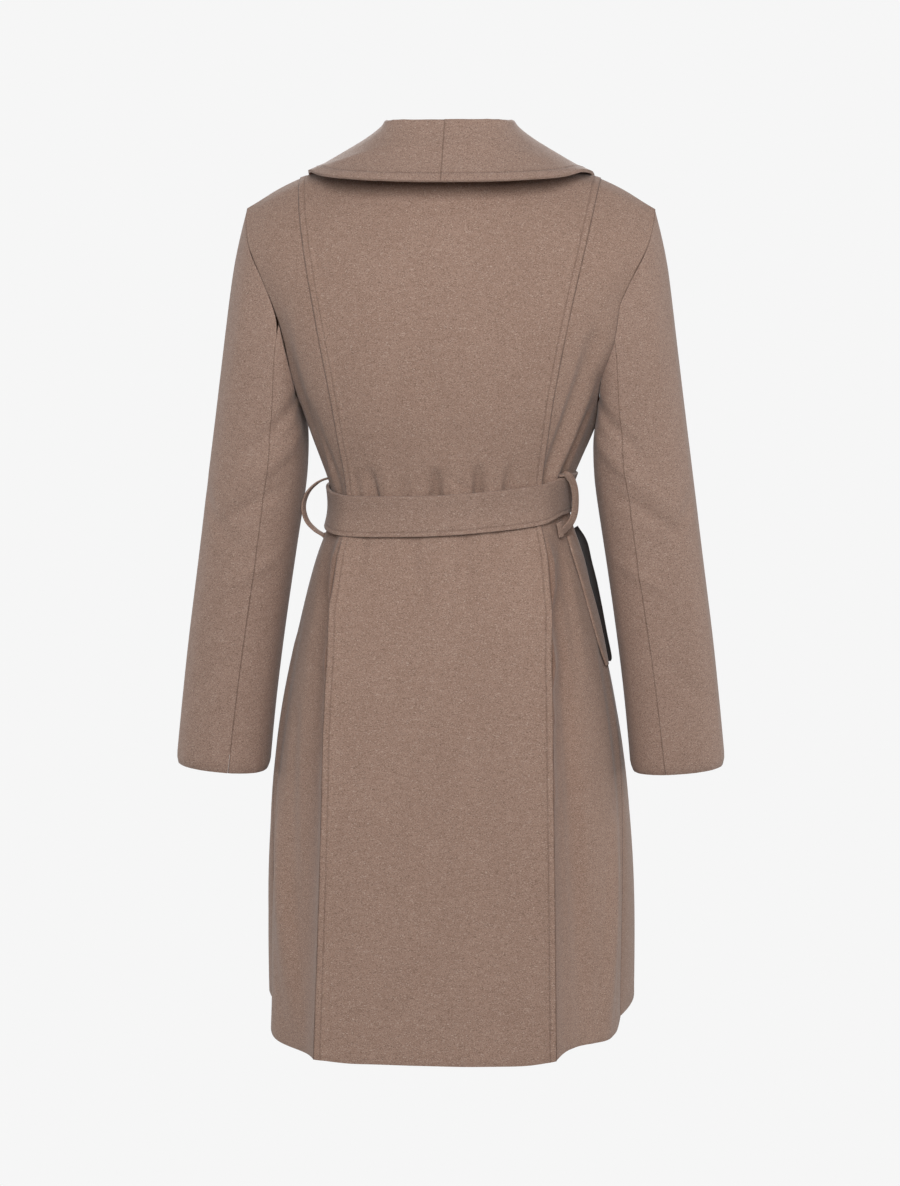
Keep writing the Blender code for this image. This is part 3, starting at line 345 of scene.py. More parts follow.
class CoatSewing(bpy.types.PropertyGroup):
    """Sizes of the folds, the turned edges and the sewing."""

    fineness: IntProperty(
        name="Fineness", description="Times that each face of the frame is cut in four",
        default=3, min=1, max=4)
    fold_strength: FloatProperty(
        name="Folds", description="Height of the soft folds against their own sizes",
        default=1.0, min=0.0, max=2.0)
    edge_round: FloatProperty(
        name="Edge rounding", description="Radius of the pressed edges",
        subtype="DISTANCE", default=0.7 * MM, min=0.1 * MM, max=1.0 * MM)
    seam_closing: FloatProperty(
        name="Seam closing", description="How far each edge is let out to meet its neighbour",
        subtype="DISTANCE", default=0.45 * MM, min=0.0, max=1 * MM)
    lap_height: FloatProperty(
        name="Lap", description="How far the topstitched edges stand up over their neighbour",
        subtype="DISTANCE", default=1.1 * MM, min=0.0, max=3 * MM)
    seam_inset: FloatProperty(
        name="Seam stitching", description="How far the lapped seams are sewn from their edge",
        subtype="DISTANCE", default=7 * MM, min=1 * MM, max=20 * MM)
    collar_inset: FloatProperty(
        name="Collar stitching", description="How far the collar is sewn from its edge",
        subtype="DISTANCE", default=10 * MM, min=1 * MM, max=20 * MM)
    belt_inset: FloatProperty(
        name="Belt stitching", description="How far the belt is sewn from its edges",
        subtype="DISTANCE", default=6 * MM, min=1 * MM, max=20 * MM)
    stitch_pitch: FloatProperty(
        name="Stitch pitch", description="Distance from one stitch to the next",
        subtype="DISTANCE", default=3.6 * MM, min=1 * MM, max=10 * MM)
    stitch_length: FloatProperty(
        name="Stitch length", description="Length of one stitch on the cloth",
        subtype="DISTANCE", default=2.7 * MM, min=1 * MM, max=10 * MM)
    thread_radius: FloatProperty(
        name="Thread radius", description="Half the thickness of the thread",
        subtype="DISTANCE", default=0.28 * MM, min=0.1 * MM, max=1 * MM)


class CoatStage(bpy.types.PropertyGroup):
    """The plain studio and its camera."""

    ground: FloatVectorProperty(
        name="Ground", description="Pale floor and backdrop, as linear colour",
        subtype="COLOR", size=3, default=(0.922, 0.922, 0.922))
    floor_drop: FloatProperty(
        name="Floor", description="How far the floor lies below the shoulders",
        subtype="DISTANCE", default=1.30, min=1.0, max=3.0)
    camera_distance: FloatProperty(
        name="Distance", description="Camera to the coat's axis, level",
        subtype="DISTANCE", default=3.0, min=1.0, max=10.0)
    camera_height: FloatProperty(
        name="Height", description="Camera above the shoulders",
        subtype="DISTANCE", default=0.03, min=-1.0, max=2.0)
    camera_turn: FloatProperty(
        name="Turn", description="Camera's way round the coat, from square behind it",
        subtype="ANGLE", default=math.radians(5))
    camera_tilt: FloatProperty(
        name="Tilt", description="How far the camera looks down",
        subtype="ANGLE", default=math.radians(9))
    lens: FloatProperty(
        name="Lens", description="Focal length on a 36 mm sensor",
        default=86.96, min=20.0, max=300.0)
    key_power: FloatProperty(
        name="Key light", description="Power of each large soft light, one by the camera and one opposite",
        default=88.0, min=0.0, max=1000.0)
    side_power: FloatProperty(
        name="Side lights", description="Power of each soft light beside the coat",
        default=30.0, min=0.0, max=1000.0)
    fill: FloatProperty(
        name="Fill", description="Strength of the even light from all round",
        default=0.29, min=0.0, max=5.0)


# ---------------------------------------------------------------- cloth pieces


def new_object(name, shape, *materials):
    """Turns a bmesh into an object of the scene, with these materials in its slots."""
    mesh = bpy.data.meshes.new(name)
    shape.to_mesh(mesh)
    shape.free()
    for material in materials:
        mesh.materials.append(material)
    item = bpy.data.objects.new(name, mesh)
    bpy.context.scene.collection.objects.link(item)
    return item


def frame_wall(node):
    """The node's wall as a grid of four-sided faces: its loose triangles merged and paired."""
    shape = bmesh.new()
    shape.from_mesh(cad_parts[node].data)
    bmesh.ops.remove_doubles(shape, verts=shape.verts[:], dist=WELD)
    bmesh.ops.join_triangles(
        shape, faces=shape.faces[:],
        angle_face_threshold=GRID_ANGLE, angle_shape_threshold=math.pi)
    return shape


def tag_sides(shape):
    """Numbers the smooth regions of a wall by area, in the faces' material index.

    The largest is the outside, the next the inside, and the others are its narrow rims.
    """
    shape.faces.ensure_lookup_table()
    shape.normal_update()
    left = set(shape.faces)
    regions = []
    while left:
        region = [left.pop()]
        for face in region:
            for edge in face.edges:
                if edge.calc_face_angle(math.pi) < RIM_ANGLE:
                    for near in edge.link_faces:
                        if near in left:
                            left.discard(near)
                            region.append(near)
        regions.append(region)
    regions.sort(key=lambda region: -sum(face.calc_area() for face in region))
    for number, region in enumerate(regions):
        for face in region:
            face.material_index = number


def finer(shape, name, levels):
    """The wall with smooth faces between its sharp rims, as a new bmesh."""
    crease = shape.edges.layers.float.new("crease_edge")
    point = shape.verts.layers.float.new("crease_vert")
    for edge in shape.edges:
        numbers = {face.material_index for face in edge.link_faces}
        edge[crease] = 1.0 if len(numbers) > 1 else 0.0
    for vert in shape.verts:
        numbers = {face.material_index for face in vert.link_faces}
        vert[point] = 1.0 if len(numbers) > 2 else 0.0
    item = new_object(name, shape)
    mesh = item.data
    smooth = item.modifiers.new("finer", "SUBSURF")
    smooth.levels = levels
    smooth.render_levels = levels
    smooth.use_limit_surface = False
    graph = bpy.context.evaluated_depsgraph_get()
    made = bpy.data.meshes.new_from_object(item.evaluated_get(graph))
    bpy.data.objects.remove(item)
    bpy.data.meshes.remove(mesh)
    result = bmesh.new()
    result.from_mesh(made)
    bpy.data.meshes.remove(made)
    return result


def sides_of(shape):
    """The edges of the outside as ordered lines of points, one for each rim."""
    joined = {}
    for edge in shape.edges:
        numbers = sorted(face.material_index for face in edge.link_faces)
        if len(numbers) == 2 and numbers[0] == OUTSIDE and numbers[1] > INSIDE:
            a, b = edge.verts
            line = joined.setdefault(numbers[1], {})
            line.setdefault(a, []).append(b)
            line.setdefault(b, []).append(a)
    lines = []
    for links in joined.values():
        ends = [vert for vert in links if len(links[vert]) == 1]
        here = ends[0] if ends else next(iter(links))
        walked = [here]
        seen = {here}
        while True:
            onward = [vert for vert in links[here] if vert not in seen]
            if not onward:
                break
            here = onward[0]
            seen.add(here)
            walked.append(here)
        if len(walked) > 2:
            lines.append([vert.co.copy() for vert in walked])
    return lines


def extreme(lines, measure):
    """The line whose mean point measures the most."""
    return max(lines, key=lambda line: measure(sum(line, Vector()) / len(line)))


def lowest(lines):
    """The lowest line, such as a hem, a cuff or the belt's lower edge."""
    return extreme(lines, lambda place: -place.z)


def left_and_right(lines):
    """The lines furthest to the wearer's left and to the right."""
    return [extreme(lines, lambda place: place.x), extreme(lines, lambda place: -place.x)]


def line_length(line):
    """The length of a line of points."""
    return sum((end - start).length for start, end in zip(line, line[1:]))


def resample(line, pitch):
    """Points a set distance apart along a line."""
    points = [line[0].copy()]
    spare = pitch
    for start, end in zip(line, line[1:]):
        length = (end - start).length
        done = 0.0
        while length - done >= spare:
            done += spare
            points.append(start.lerp(end, done / length))
            spare = pitch
        spare -= length - done
    return points


def near_tree(lines, pitch):
    """A search tree of points along the lines, or None where there are no lines."""
    points = [point for line in lines for point in resample(line, pitch)]
    if not points:
        return None
    tree = KDTree(len(points))
    for number, point in enumerate(points):
        tree.insert(point, number)
    tree.balance()
    return tree


def soft_step(share):
    """A share from 0 to 1 with a soft start and end."""
    return share * share * (3 - 2 * share)


def unroll(places):
    """Unrolled places round the trunk, and the level way out of it there."""
    x = places[:, 0]
    y = places[:, 1] * BODY_DEPTH
    turn = np.arctan2(x, y)
    reach = np.maximum(np.hypot(x, y), NEAR_ZERO)
    out = np.stack([x / reach, y / reach, np.zeros(len(x))], axis=1)
    return turn * BODY_RADIUS, places[:, 2], out


def unroll_sleeve(places, side):
    """The same round a sleeve, whose axis leans out and down; side is 1 for the left one."""
    low, high = SLEEVE_AXIS
    share = (places[:, 2] - high[2]) / (low[2] - high[2])
    centre = np.outer(1 - share, high) + np.outer(share, low)
    across = places[:, 0] * side - centre[:, 0]
    depth = places[:, 1] - centre[:, 1]
    turn = np.arctan2(depth, across)
    reach = np.maximum(np.hypot(across, depth), NEAR_ZERO)
    out = np.stack([side * across / reach, depth / reach, np.zeros(len(across))], axis=1)
    return turn * SLEEVE_RADIUS, places[:, 2], out


def fold_heights(u, z, folds):
    """How far the folds move each place out; they fade at both of their ends."""
    heights = np.zeros(len(u))
    for u0, z0, u1, z1, half_width, height in folds:
        du, dz = u1 - u0, z1 - z0
        share = ((u - u0) * du + (z - z0) * dz) / (du * du + dz * dz)
        held = np.clip(share, 0.0, 1.0)
        apart = np.hypot(u - u0 - held * du, z - z0 - held * dz) / half_width
        bump = np.clip(1 - apart * apart, 0.0, 1.0) ** 2
        fade = np.sin(np.pi * np.clip(WAVE_START + WAVE_SPAN * share, 0.0, 1.0))
        heights += height * bump * fade
    return heights


def drape(shape, folds, unrolled, shaping=None):
    """Moves the wall's points out and in along its folds, and by a piece's own shaping."""
    strength = bpy.context.scene.coat_sewing.fold_strength
    places = np.array([vert.co for vert in shape.verts])
    u, z, out = unrolled(places)
    height = fold_heights(u, z, folds) * strength
    if shaping:
        height += shaping(u, z)
    moved = places + out * height[:, None]
    for vert, place in zip(shape.verts, moved):
        vert.co = place


def princess_turns():
    """A function of heights and turns that gives how far round the long back seam lies."""
    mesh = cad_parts["back_centre"].data
    places = np.array([vert.co for vert in mesh.vertices])
    u, z, _ = unroll(places)
    levels = np.linspace(*SEAM_SPAN, SEAM_LEVELS)
    near = [np.abs(z - level) < LEVEL_REACH for level in levels]
    right = np.array([u[here].min() for here in near])
    left = np.array([u[here].max() for here in near])
    return lambda heights, turns: np.where(
        turns > 0, np.interp(heights, levels, left), -np.interp(heights, levels, right))


def skirt_stand(u, z, turns, side_panel):
    """How far the skirt stands out at its long back seams and dips in beside them."""
    seam = turns(z, u)
    stand = np.interp(z, SEAM_STAND[:, 0], SEAM_STAND[:, 1])
    if not side_panel:
        return stand * np.clip(np.abs(u) / seam, 0.0, 1.0) ** 2
    apart = np.clip((np.abs(u) - seam) / TURN_WIDTH, 0.0, 1.0)
    dip = TURN_DIP * stand / SEAM_STAND[:, 1].max()
    return stand * (1 - apart) ** 2 - DIP_PEAK * dip * apart * (1 - apart) ** 2


def paint_hollow_shade(mesh, turns):
    """Marks how deep each place lies in the hollow beside a long back seam, for the painted shade there.
    """
    u, z, _ = unroll(np.array([vert.co for vert in mesh.vertices]))
    apart = np.clip((np.abs(u) - turns(z, u)) / TURN_WIDTH, 0.0, 1.0)
    stand = np.interp(z, SEAM_STAND[:, 0], SEAM_STAND[:, 1]) / SEAM_STAND[:, 1].max()
    layer = mesh.attributes.new("hollow", "FLOAT", "POINT")
    layer.data.foreach_set("value", (stand * (1 - apart) ** HOLLOW_FADE).astype(np.float32))


def raise_roll(shape):
    """Lifts the collar's roll to its level top."""
    for vert in shape.verts:
        place = vert.co
        share = min(max((place.z - COLLAR_TOP) / COLLAR_FADE + 1, 0.0), 1.0)
        rise = np.interp(abs(place.x), COLLAR_RISE[:, 0], COLLAR_RISE[:, 1])
        place.z += rise * soft_step(share)


def roll_cuff(shape, unrolled):
    """Turns a sleeve in over its cuff, as a soft pressed hem does."""
    tree = near_tree([lowest(sides_of(shape))], EDGE_PITCH)
    out = unrolled(np.array([vert.co for vert in shape.verts]))[2]
    for vert, way in zip(shape.verts, out):
        near = max(1 - tree.find(vert.co)[2] / CUFF_ROLL, 0.0)
        vert.co -= Vector(way) * (CUFF_TURN * near * near)


def lap(shape, lines, width, height):
    """Thickens the outside beside its sewn edges, where the seam allowances lie beneath."""
    tree = near_tree(lines, EDGE_PITCH)
    if tree is None:
        return
    shape.normal_update()
    moves = {}
    for vert in shape.verts:
        faces = [face for face in vert.link_faces if face.material_index == OUTSIDE]
        if not faces:
            continue
        apart = tree.find(vert.co)[2]
        share = min(max(LAP_END - apart / width, 0.0), LAP_FALL) / LAP_FALL
        if share > 0:
            normal = sum((face.normal for face in faces), Vector()).normalized()
            moves[vert] = normal * (height * soft_step(share))
    for vert, move in moves.items():
        vert.co += move


def close_seams(shape, reach):
    """Pushes the rims out a little, so that sewn neighbours meet."""
    shape.normal_update()
    moves = {}
    for vert in shape.verts:
        faces = [face for face in vert.link_faces if face.material_index > INSIDE]
        if faces:
            moves[vert] = sum((face.normal for face in faces), Vector()).normalized() * reach
    for vert, move in moves.items():
        vert.co += move


def round_edges(shape, radius):
    """Presses the wall's sharp rims to a small radius."""
    rims = [
        edge for edge in shape.edges
        if len({face.material_index for face in edge.link_faces}) > 1]
    bmesh.ops.bevel(
        shape, geom=rims, offset=radius, segments=2, profile=0.5,
        affect="EDGES", material=-1, clamp_overlap=True)


def measure_from(mesh, attribute, lines, furthest):
    """Stores how far each point lies from the lines, for the cloth's seam relief and its painted shade."""
    layer = mesh.attributes.new(attribute, "FLOAT", "POINT")
    values = np.full(len(mesh.vertices), furthest, np.float32)
    tree = near_tree(lines, MEASURE_PITCH)
    if tree is not None:
        for vert in mesh.vertices:
            values[vert.index] = min(tree.find(vert.co)[2], furthest)
    layer.data.foreach_set("value", values)


def finish_piece(item, slot, nodes):
    """The calls that every piece of the coat needs."""
    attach(item, "root")
    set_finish(item, slot)
    if nodes:
        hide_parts(*nodes)
    return item


def seams_above_hem(lines):
    """Every edge but the lowest, which is a hem or a cuff."""
    hem = lowest(lines)
    return [line for line in lines if line is not hem]


def no_lines(lines):
    """None of the edges."""
    return []


def cloth_piece(node, material, slot, folds=None, unrolled=unroll, shaping=None, reform=None,
                sewn=no_lines, seams=seams_above_hem, inset=0.0, lap_height=0.0,
                levels=None):
    """One panel of cloth, and the edges beside which it is topstitched.

    folds are laid in the places that unrolled gives, shaping(u, z) moves the cloth further
    out, and reform(shape) reshapes it afterwards. sewn(lines) picks the edges beside which
    it is topstitched, and seams(lines) those where it is joined to a neighbour.
    """
    sewing = bpy.context.scene.coat_sewing
    shape = frame_wall(node)
    tag_sides(shape)
    shape = finer(shape, node + "_cloth", levels or sewing.fineness)
    if folds is not None:
        drape(shape, folds, unrolled, shaping)
    if reform:
        reform(shape)
    if lap_height:
        lap(shape, sewn(sides_of(shape)), inset, lap_height)
    close_seams(shape, sewing.seam_closing)
    lines = sides_of(shape)
    round_edges(shape, sewing.edge_round)
    for face in shape.faces:
        face.smooth = True
        face.material_index = INSIDE if face.material_index == INSIDE else OUTSIDE
    item = new_object(node + "_cloth", shape, material, material)
    measure_from(item.data, "seam", sewn(lines), SEAM_REACH)
    measure_from(item.data, "join", seams(lines), SEAM_REACH)
    finish_piece(item, slot, [node])
    return item, sewn(lines)


def sew(name, item, lines, inset, trim=0.0):
    """Rows of stitches on a piece, set in from its edges and, by trim, from their ends."""
    sewing = bpy.context.scene.coat_sewing
    mesh = item.data
    faces = [tuple(face.vertices) for face in mesh.polygons if face.material_index == OUTSIDE]
    surface = BVHTree.FromPolygons([vert.co for vert in mesh.vertices], faces)
    middle = sum((vert.co for vert in mesh.vertices), Vector()) / len(mesh.vertices)
    shape = bmesh.new()
    for line in lines:
        points = resample(line, sewing.stitch_pitch)
        spare = int(trim / sewing.stitch_pitch)
        for number in range(1 + spare, len(points) - 1 - spare):
            along = (points[number + 1] - points[number - 1]).normalized()
            face = surface.find_nearest(points[number])[1]
            across = face.cross(along).normalized()
            sides = [points[number] + across * inset, points[number] - across * inset]
            found = [surface.find_nearest(side) for side in sides]
            apart = [(hit[0] - side).length for hit, side in zip(found, sides)]
            place, normal = found[apart.index(min(apart))][:2]
            turn = Matrix((along, normal.cross(along).normalized(), normal)).transposed()
            size = Matrix.Diagonal(
                (sewing.stitch_length / 2, sewing.thread_radius, sewing.thread_radius, 1.0))
            put = Matrix.Translation(place + normal * sewing.thread_radius * STITCH_RISE)
            bmesh.ops.create_icosphere(
                shape, subdivisions=1, radius=1.0, matrix=put @ turn.to_4x4() @ size)
    for face in shape.faces:
        face.smooth = True
    return finish_piece(new_object(name, shape, thread_material()), item["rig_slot"], [])


# ---------------------------------------------------------------- pieces modelled afresh


def smooth_path(points, count):
    """A curve through the points, as count + 1 places."""
    points = [Vector(point) for point in points]
    padded = [2 * points[0] - points[1], *points, 2 * points[-1] - points[-2]]
    places = []
    for number in range(count + 1):
        at = number / count * (len(points) - 1)
        start = min(int(at), len(points) - 2)
        share = at - start
        before, here, after, beyond = padded[start:start + 4]
        places.append(0.5 * (
            2 * here + (after - before) * share
            + (2 * before - 5 * here + 4 * after - beyond) * share * share
            + (3 * here - before - 3 * after + beyond) * share ** 3))
    return places


def skin_rings(shape, rings):
    """Joins matching rings of points with faces and closes both ends."""
    made = [[shape.verts.new(point) for point in ring] for ring in rings]
    for first, second in zip(made, made[1:]):
        for number in range(len(first)):
            after = (number + 1) % len(first)
            shape.faces.new((first[number], first[after], second[after], second[number]))
    shape.faces.new(list(reversed(made[0])))
    shape.faces.new(made[-1])


def squared_off(value, power):
    """A sine or cosine moved towards 1 or -1, which makes a rounded box of a circle."""
    return math.copysign(abs(value) ** power, value)


def strap(shape, points, across, width, count):
    """A soft-edged band along a path, its face lying along the vector across."""
    path = smooth_path(points, count)
    across = Vector(across).normalized()
    rings = []
    for number, place in enumerate(path):
        along = (path[min(number + 1, count)] - path[max(number - 1, 0)]).normalized()
        side = (across - along * across.dot(along)).normalized()
        out = along.cross(side)
        ring = []
        for step in range(STRAP_SIDES):
            turn = 2 * math.pi * step / STRAP_SIDES
            flat = squared_off(math.cos(turn), STRAP_FACE)
            plump = squared_off(math.sin(turn), STRAP_EDGE)
            ridge = 1 + STRAP_RIDGE * math.cos(4 * math.pi * flat)
            ring.append(
                place + side * flat * width / 2
                + out * plump * ridge * LOOP_THICKNESS / STRAP_DIVISOR)
        rings.append(ring)
    skin_rings(shape, rings)


def sheet_between(outer, inner, thickness, crown):
    """A thin wall between two paths, bowed out by crown and thinner at its long edges."""
    shape = bmesh.new()
    near, far = smooth_path(outer, SHEET_ROWS), smooth_path(inner, SHEET_ROWS)
    rings = []
    for number in range(SHEET_ROWS + 1):
        across = far[number] - near[number]
        along = near[min(number + 1, SHEET_ROWS)] - near[max(number - 1, 0)]
        out = along.cross(across).normalized()
        if out.x > 0:
            out = -out
        shares = [step / SHEET_COLUMNS for step in range(SHEET_COLUMNS + 1)]
        middle = [
            near[number] + across * share
            + out * crown * math.sin(math.pi * step / SHEET_COLUMNS)
            for step, share in enumerate(shares)]
        thin = [thickness / 2 * (1 if 0 < share < 1 else SHEET_EDGE) for share in shares]
        rings.append(
            [place + out * half for place, half in zip(middle, thin)]
            + [place - out * half for place, half in reversed(list(zip(middle, thin)))])
    skin_rings(shape, rings)
    return shape


def formed_piece(shape, name, material, slot, node):
    """A piece modelled afresh in place of a frame node."""
    bmesh.ops.recalc_face_normals(shape, faces=shape.faces[:])
    for face in shape.faces:
        face.smooth = True
    item = new_object(name, shape, material)
    for attribute in ("seam", "join"):
        measure_from(item.data, attribute, [], SEAM_REACH)
    return finish_piece(item, slot, [node])


def tie_knot(low, high):
    """A tied knot between two corners: a plump wrap with the band's folds drawn across it."""
    shape = bmesh.new()
    bmesh.ops.create_cube(shape, size=2.0)
    bmesh.ops.subdivide_edges(
        shape, edges=shape.edges[:], cuts=KNOT_CUTS, use_grid_fill=True, smooth=0.0)
    half = (high - low) / 2
    for vert in shape.verts:
        place = vert.co
        powers = sum(abs(value) ** KNOT_SQUARENESS for value in place)
        place = place / powers ** (1 / KNOT_SQUARENESS)
        slant = place.x * KNOT_SLANT[0] + place.z * KNOT_SLANT[1]
        draw = 1 - KNOT_DRAW * (1 + math.cos(KNOT_FOLDS * slant + KNOT_TWIST * place.z)) / 2
        belted = math.exp(-WAIST_NARROWNESS * place.z * place.z)
        waist = 1 - KNOT_WAIST * belted * (1 - abs(place.x))
        vert.co = Vector((
            place.x * half.x * draw, place.y * half.y * draw * waist, place.z * half.z * draw))
    bmesh.ops.translate(shape, verts=shape.verts[:], vec=(low + high) / 2)
    return shape


# ---------------------------------------------------------------- materials

# Melange wool, whose fibres lie along a slant: (how the places of a noise are stretched,
# how far they are turned)
LIGHT_FIBRES = ((0.66, 0.66, 1.7), math.radians(7))
DARK_FIBRES = ((0.85, 0.85, 1.35), math.radians(-12))
# Noises: (patterns per metre, detail, roughness); the flecks' scale follows their size
FIBRE_NOISE = (2400.0, 1.0, 0.5)
MOTTLE_NOISE = (190.0, 2.0, 0.55)
CLOUD_NOISE = (16.0, 2.0, 0.5)
THREAD_NOISE = (900.0, 1.0, 0.5)
FLECK_NOISE = (3.0, 0.62)
# The noise values between which a patch or a fleck comes up
GROUND_RAMP = (0.35, 0.65)
LIGHT_RAMP = (0.54, 0.70)
DARK_RAMP = (0.50, 0.66)
LIGHT_FLECK = (0.62, 0.50, 0.43, 1.0)
DARK_FLECK = (0.115, 0.068, 0.050, 1.0)
# What the wool's colour is multiplied by: its own tone in the mottle's and the clouds' patches,
# and painted shade at the stitches, at a join, and in the hollows beside the long back seams
MOTTLE_SHADE = (0.91, 0.895, 0.885, 1.0)
CLOUD_SHADE = (0.975, 0.97, 0.967, 1.0)
STITCH_PAINTED_SHADE = (0.60, 0.56, 0.54, 1.0)
JOIN_PAINTED_SHADE = (0.46, 0.42, 0.40, 1.0)
HOLLOW_PAINTED_SHADE = (0.74, 0.66, 0.62, 1.0)
STITCH_STRENGTH = 0.32
JOIN_STRENGTH = 0.85
WOOL_ROUGHNESS = 0.84
ROUGHNESS_SPREAD = 0.12
WOOL_SHINE = 0.18
SHEEN_ROUGHNESS = 0.45
# Share of the fibres and of the mottle in the nap's height
FIBRE_NAP = 0.6
MOTTLE_NAP = 0.8
NAP_STRENGTH = 0.6

# Relief beside a lapped seam: (share of the inset, height), the stitches lying at 1
SEAM_RELIEF = [
    (0.00, 0.10), (0.10, 0.62), (0.25, 0.80), (0.70, 0.80), (0.88, 0.55),
    (1.00, 0.20), (1.12, 0.45), (1.45, 0.60), (2.00, 0.60),
]
SEAM_HEIGHT = 1.2 * MM
# The painted shade at the stitches fades between these shares of the inset, and the painted
# shade at a join between these distances
STITCH_RAMP = (0.04, 0.20)
JOIN_RAMP = (0.0, 1.8 * MM)

THREAD_RAMP = (0.3, 0.7)
THREAD_LIGHTER = 1.3
THREAD_ROUGHNESS = 0.75
THREAD_SHINE = 0.2
TWILL_SCALE = 260.0
TWILL_LIGHTER = 2.2
TWILL_HEIGHT = 0.15 * MM
TWILL_ROUGHNESS = 0.55


def new_group(name, inputs, outputs):
    """An empty shader group with named sockets."""
    group = bpy.data.node_groups.new(name, "ShaderNodeTree")
    for label, kind, default in inputs:
        socket = group.interface.new_socket(label, in_out="INPUT", socket_type=kind)
        socket.default_value = default
    for label, kind in outputs:
        group.interface.new_socket(label, in_out="OUTPUT", socket_type=kind)
    start = group.nodes.new("NodeGroupInput")
    end = group.nodes.new("NodeGroupOutput")
    return group, start, end


def new_material(name):
    """A new material, its node tree and the shader of its surface."""
    material = bpy.data.materials.new(name)
    material.use_nodes = True
    tree = material.node_tree
    return material, tree, tree.nodes["Principled BSDF"]


def link(tree, source, target):
    """Joins an output to an input."""
    tree.links.new(source, target)


def feed(tree, value, socket):
    """Gives a socket a value of its own, or the output of another node."""
    if isinstance(value, (int, float, tuple)):
        socket.default_value = value
    else:
        link(tree, value, socket)


def object_places(tree):
    """The places of the piece's own object, which are those of the frame."""
    return tree.nodes.new("ShaderNodeTexCoord").outputs["Object"]


def stored_value(tree, attribute):
    """A value that the piece's points carry."""
    node = tree.nodes.new("ShaderNodeAttribute")
    node.attribute_name = attribute
    return node.outputs["Fac"]


def math_node(tree, operation, first, second=None):
    """The result of one operation on one or two values."""
    node = tree.nodes.new("ShaderNodeMath")
    node.operation = operation
    feed(tree, first, node.inputs[0])
    if second is not None:
        feed(tree, second, node.inputs[1])
    return node.outputs[0]


def less_than_whole(tree, value):
    """What is missing from a value to 1."""
    return math_node(tree, "SUBTRACT", 1.0, value)


def noise_node(tree, vector, scale, detail, roughness):
    """Noise from about 0 to 1, in patterns per metre."""
    node = tree.nodes.new("ShaderNodeTexNoise")
    node.inputs["Detail"].default_value = detail
    node.inputs["Roughness"].default_value = roughness
    link(tree, vector, node.inputs["Vector"])
    feed(tree, scale, node.inputs["Scale"])
    return node.outputs["Fac"]


def ramp_node(tree, value, limits):
    """0 at the first limit and 1 at the second, with a soft change between."""
    low, high = limits
    node = tree.nodes.new("ShaderNodeMapRange")
    node.interpolation_type = "SMOOTHSTEP"
    node.inputs["From Min"].default_value = low
    node.inputs["From Max"].default_value = high
    link(tree, value, node.inputs["Value"])
    return node.outputs["Result"]


def bump_node(tree, height, distance, strength=1.0, under=None):
    """The normal of a relief, laid over that of another one where one is given."""
    node = tree.nodes.new("ShaderNodeBump")
    node.inputs["Strength"].default_value = strength
    node.inputs["Distance"].default_value = distance
    link(tree, height, node.inputs["Height"])
    if under is not None:
        link(tree, under, node.inputs["Normal"])
    return node.outputs["Normal"]


def mix_colour(tree, factor, first, second, blend="MIX"):
    """The second colour laid over the first, as far as the factor says."""
    node = tree.nodes.new("ShaderNodeMix")
    node.data_type = "RGBA"
    node.blend_type = blend
    # a Mix node has sockets for numbers and vectors too; its colours are 6 and 7
    for socket, value in ((0, factor), (6, first), (7, second)):
        feed(tree, value, node.inputs[socket])
    return node.outputs[2]


def shade_colour(tree, factor, colour, shade):
    """A colour multiplied by a shade, as far as the factor says."""
    return mix_colour(tree, factor, colour, shade, "MULTIPLY")


def stretched_places(tree, source, squeeze, turn):
    """Places squeezed and turned, so that a noise read there is stretched and slants."""
    node = tree.nodes.new("ShaderNodeMapping")
    node.inputs["Scale"].default_value = squeeze
    node.inputs["Rotation"].default_value = (0.0, turn, 0.0)
    link(tree, source, node.inputs["Vector"])
    return node.outputs["Vector"]


def melange_group():
    """Brushed melange wool: light and dark fibres over a mottled ground, and their nap."""
    found = bpy.data.node_groups.get("melange_wool")
    if found:
        return found
    group, start, end = new_group(
        "melange_wool",
        [("Colour", "NodeSocketColor", (0.3, 0.2, 0.16, 1.0)),
         ("Fleck size", "NodeSocketFloat", 1.5 * MM),
         ("Contrast", "NodeSocketFloat", 0.3)],
        [("Colour", "NodeSocketColor"), ("Roughness", "NodeSocketFloat"),
         ("Nap", "NodeSocketFloat")])
    places = object_places(group)
    fleck_scale = math_node(group, "DIVIDE", 1.0, start.outputs["Fleck size"])
    slanted = stretched_places(group, places, *LIGHT_FIBRES)
    crossed = stretched_places(group, places, *DARK_FIBRES)
    light = noise_node(group, slanted, fleck_scale, *FLECK_NOISE)
    dark = noise_node(group, crossed, fleck_scale, *FLECK_NOISE)
    fibres = noise_node(group, crossed, *FIBRE_NOISE)
    mottle = noise_node(group, slanted, *MOTTLE_NOISE)
    cloud = noise_node(group, places, *CLOUD_NOISE)

    colour = start.outputs["Colour"]
    for patches, shade in ((mottle, MOTTLE_SHADE), (cloud, CLOUD_SHADE)):
        colour = shade_colour(group, ramp_node(group, patches, GROUND_RAMP), colour, shade)
    for flecks, limits, fleck in (
            (light, LIGHT_RAMP, LIGHT_FLECK), (dark, DARK_RAMP, DARK_FLECK)):
        mask = math_node(
            group, "MULTIPLY", ramp_node(group, flecks, limits), start.outputs["Contrast"])
        colour = mix_colour(group, mask, colour, fleck)
    link(group, colour, end.inputs["Colour"])
    rough = math_node(group, "MULTIPLY", light, ROUGHNESS_SPREAD)
    link(group, math_node(group, "ADD", rough, WOOL_ROUGHNESS), end.inputs["Roughness"])
    nap = light
    for relief, height in ((fibres, FIBRE_NAP), (mottle, MOTTLE_NAP)):
        nap = math_node(group, "ADD", nap, math_node(group, "MULTIPLY", relief, height))
    link(group, nap, end.inputs["Nap"])
    return group


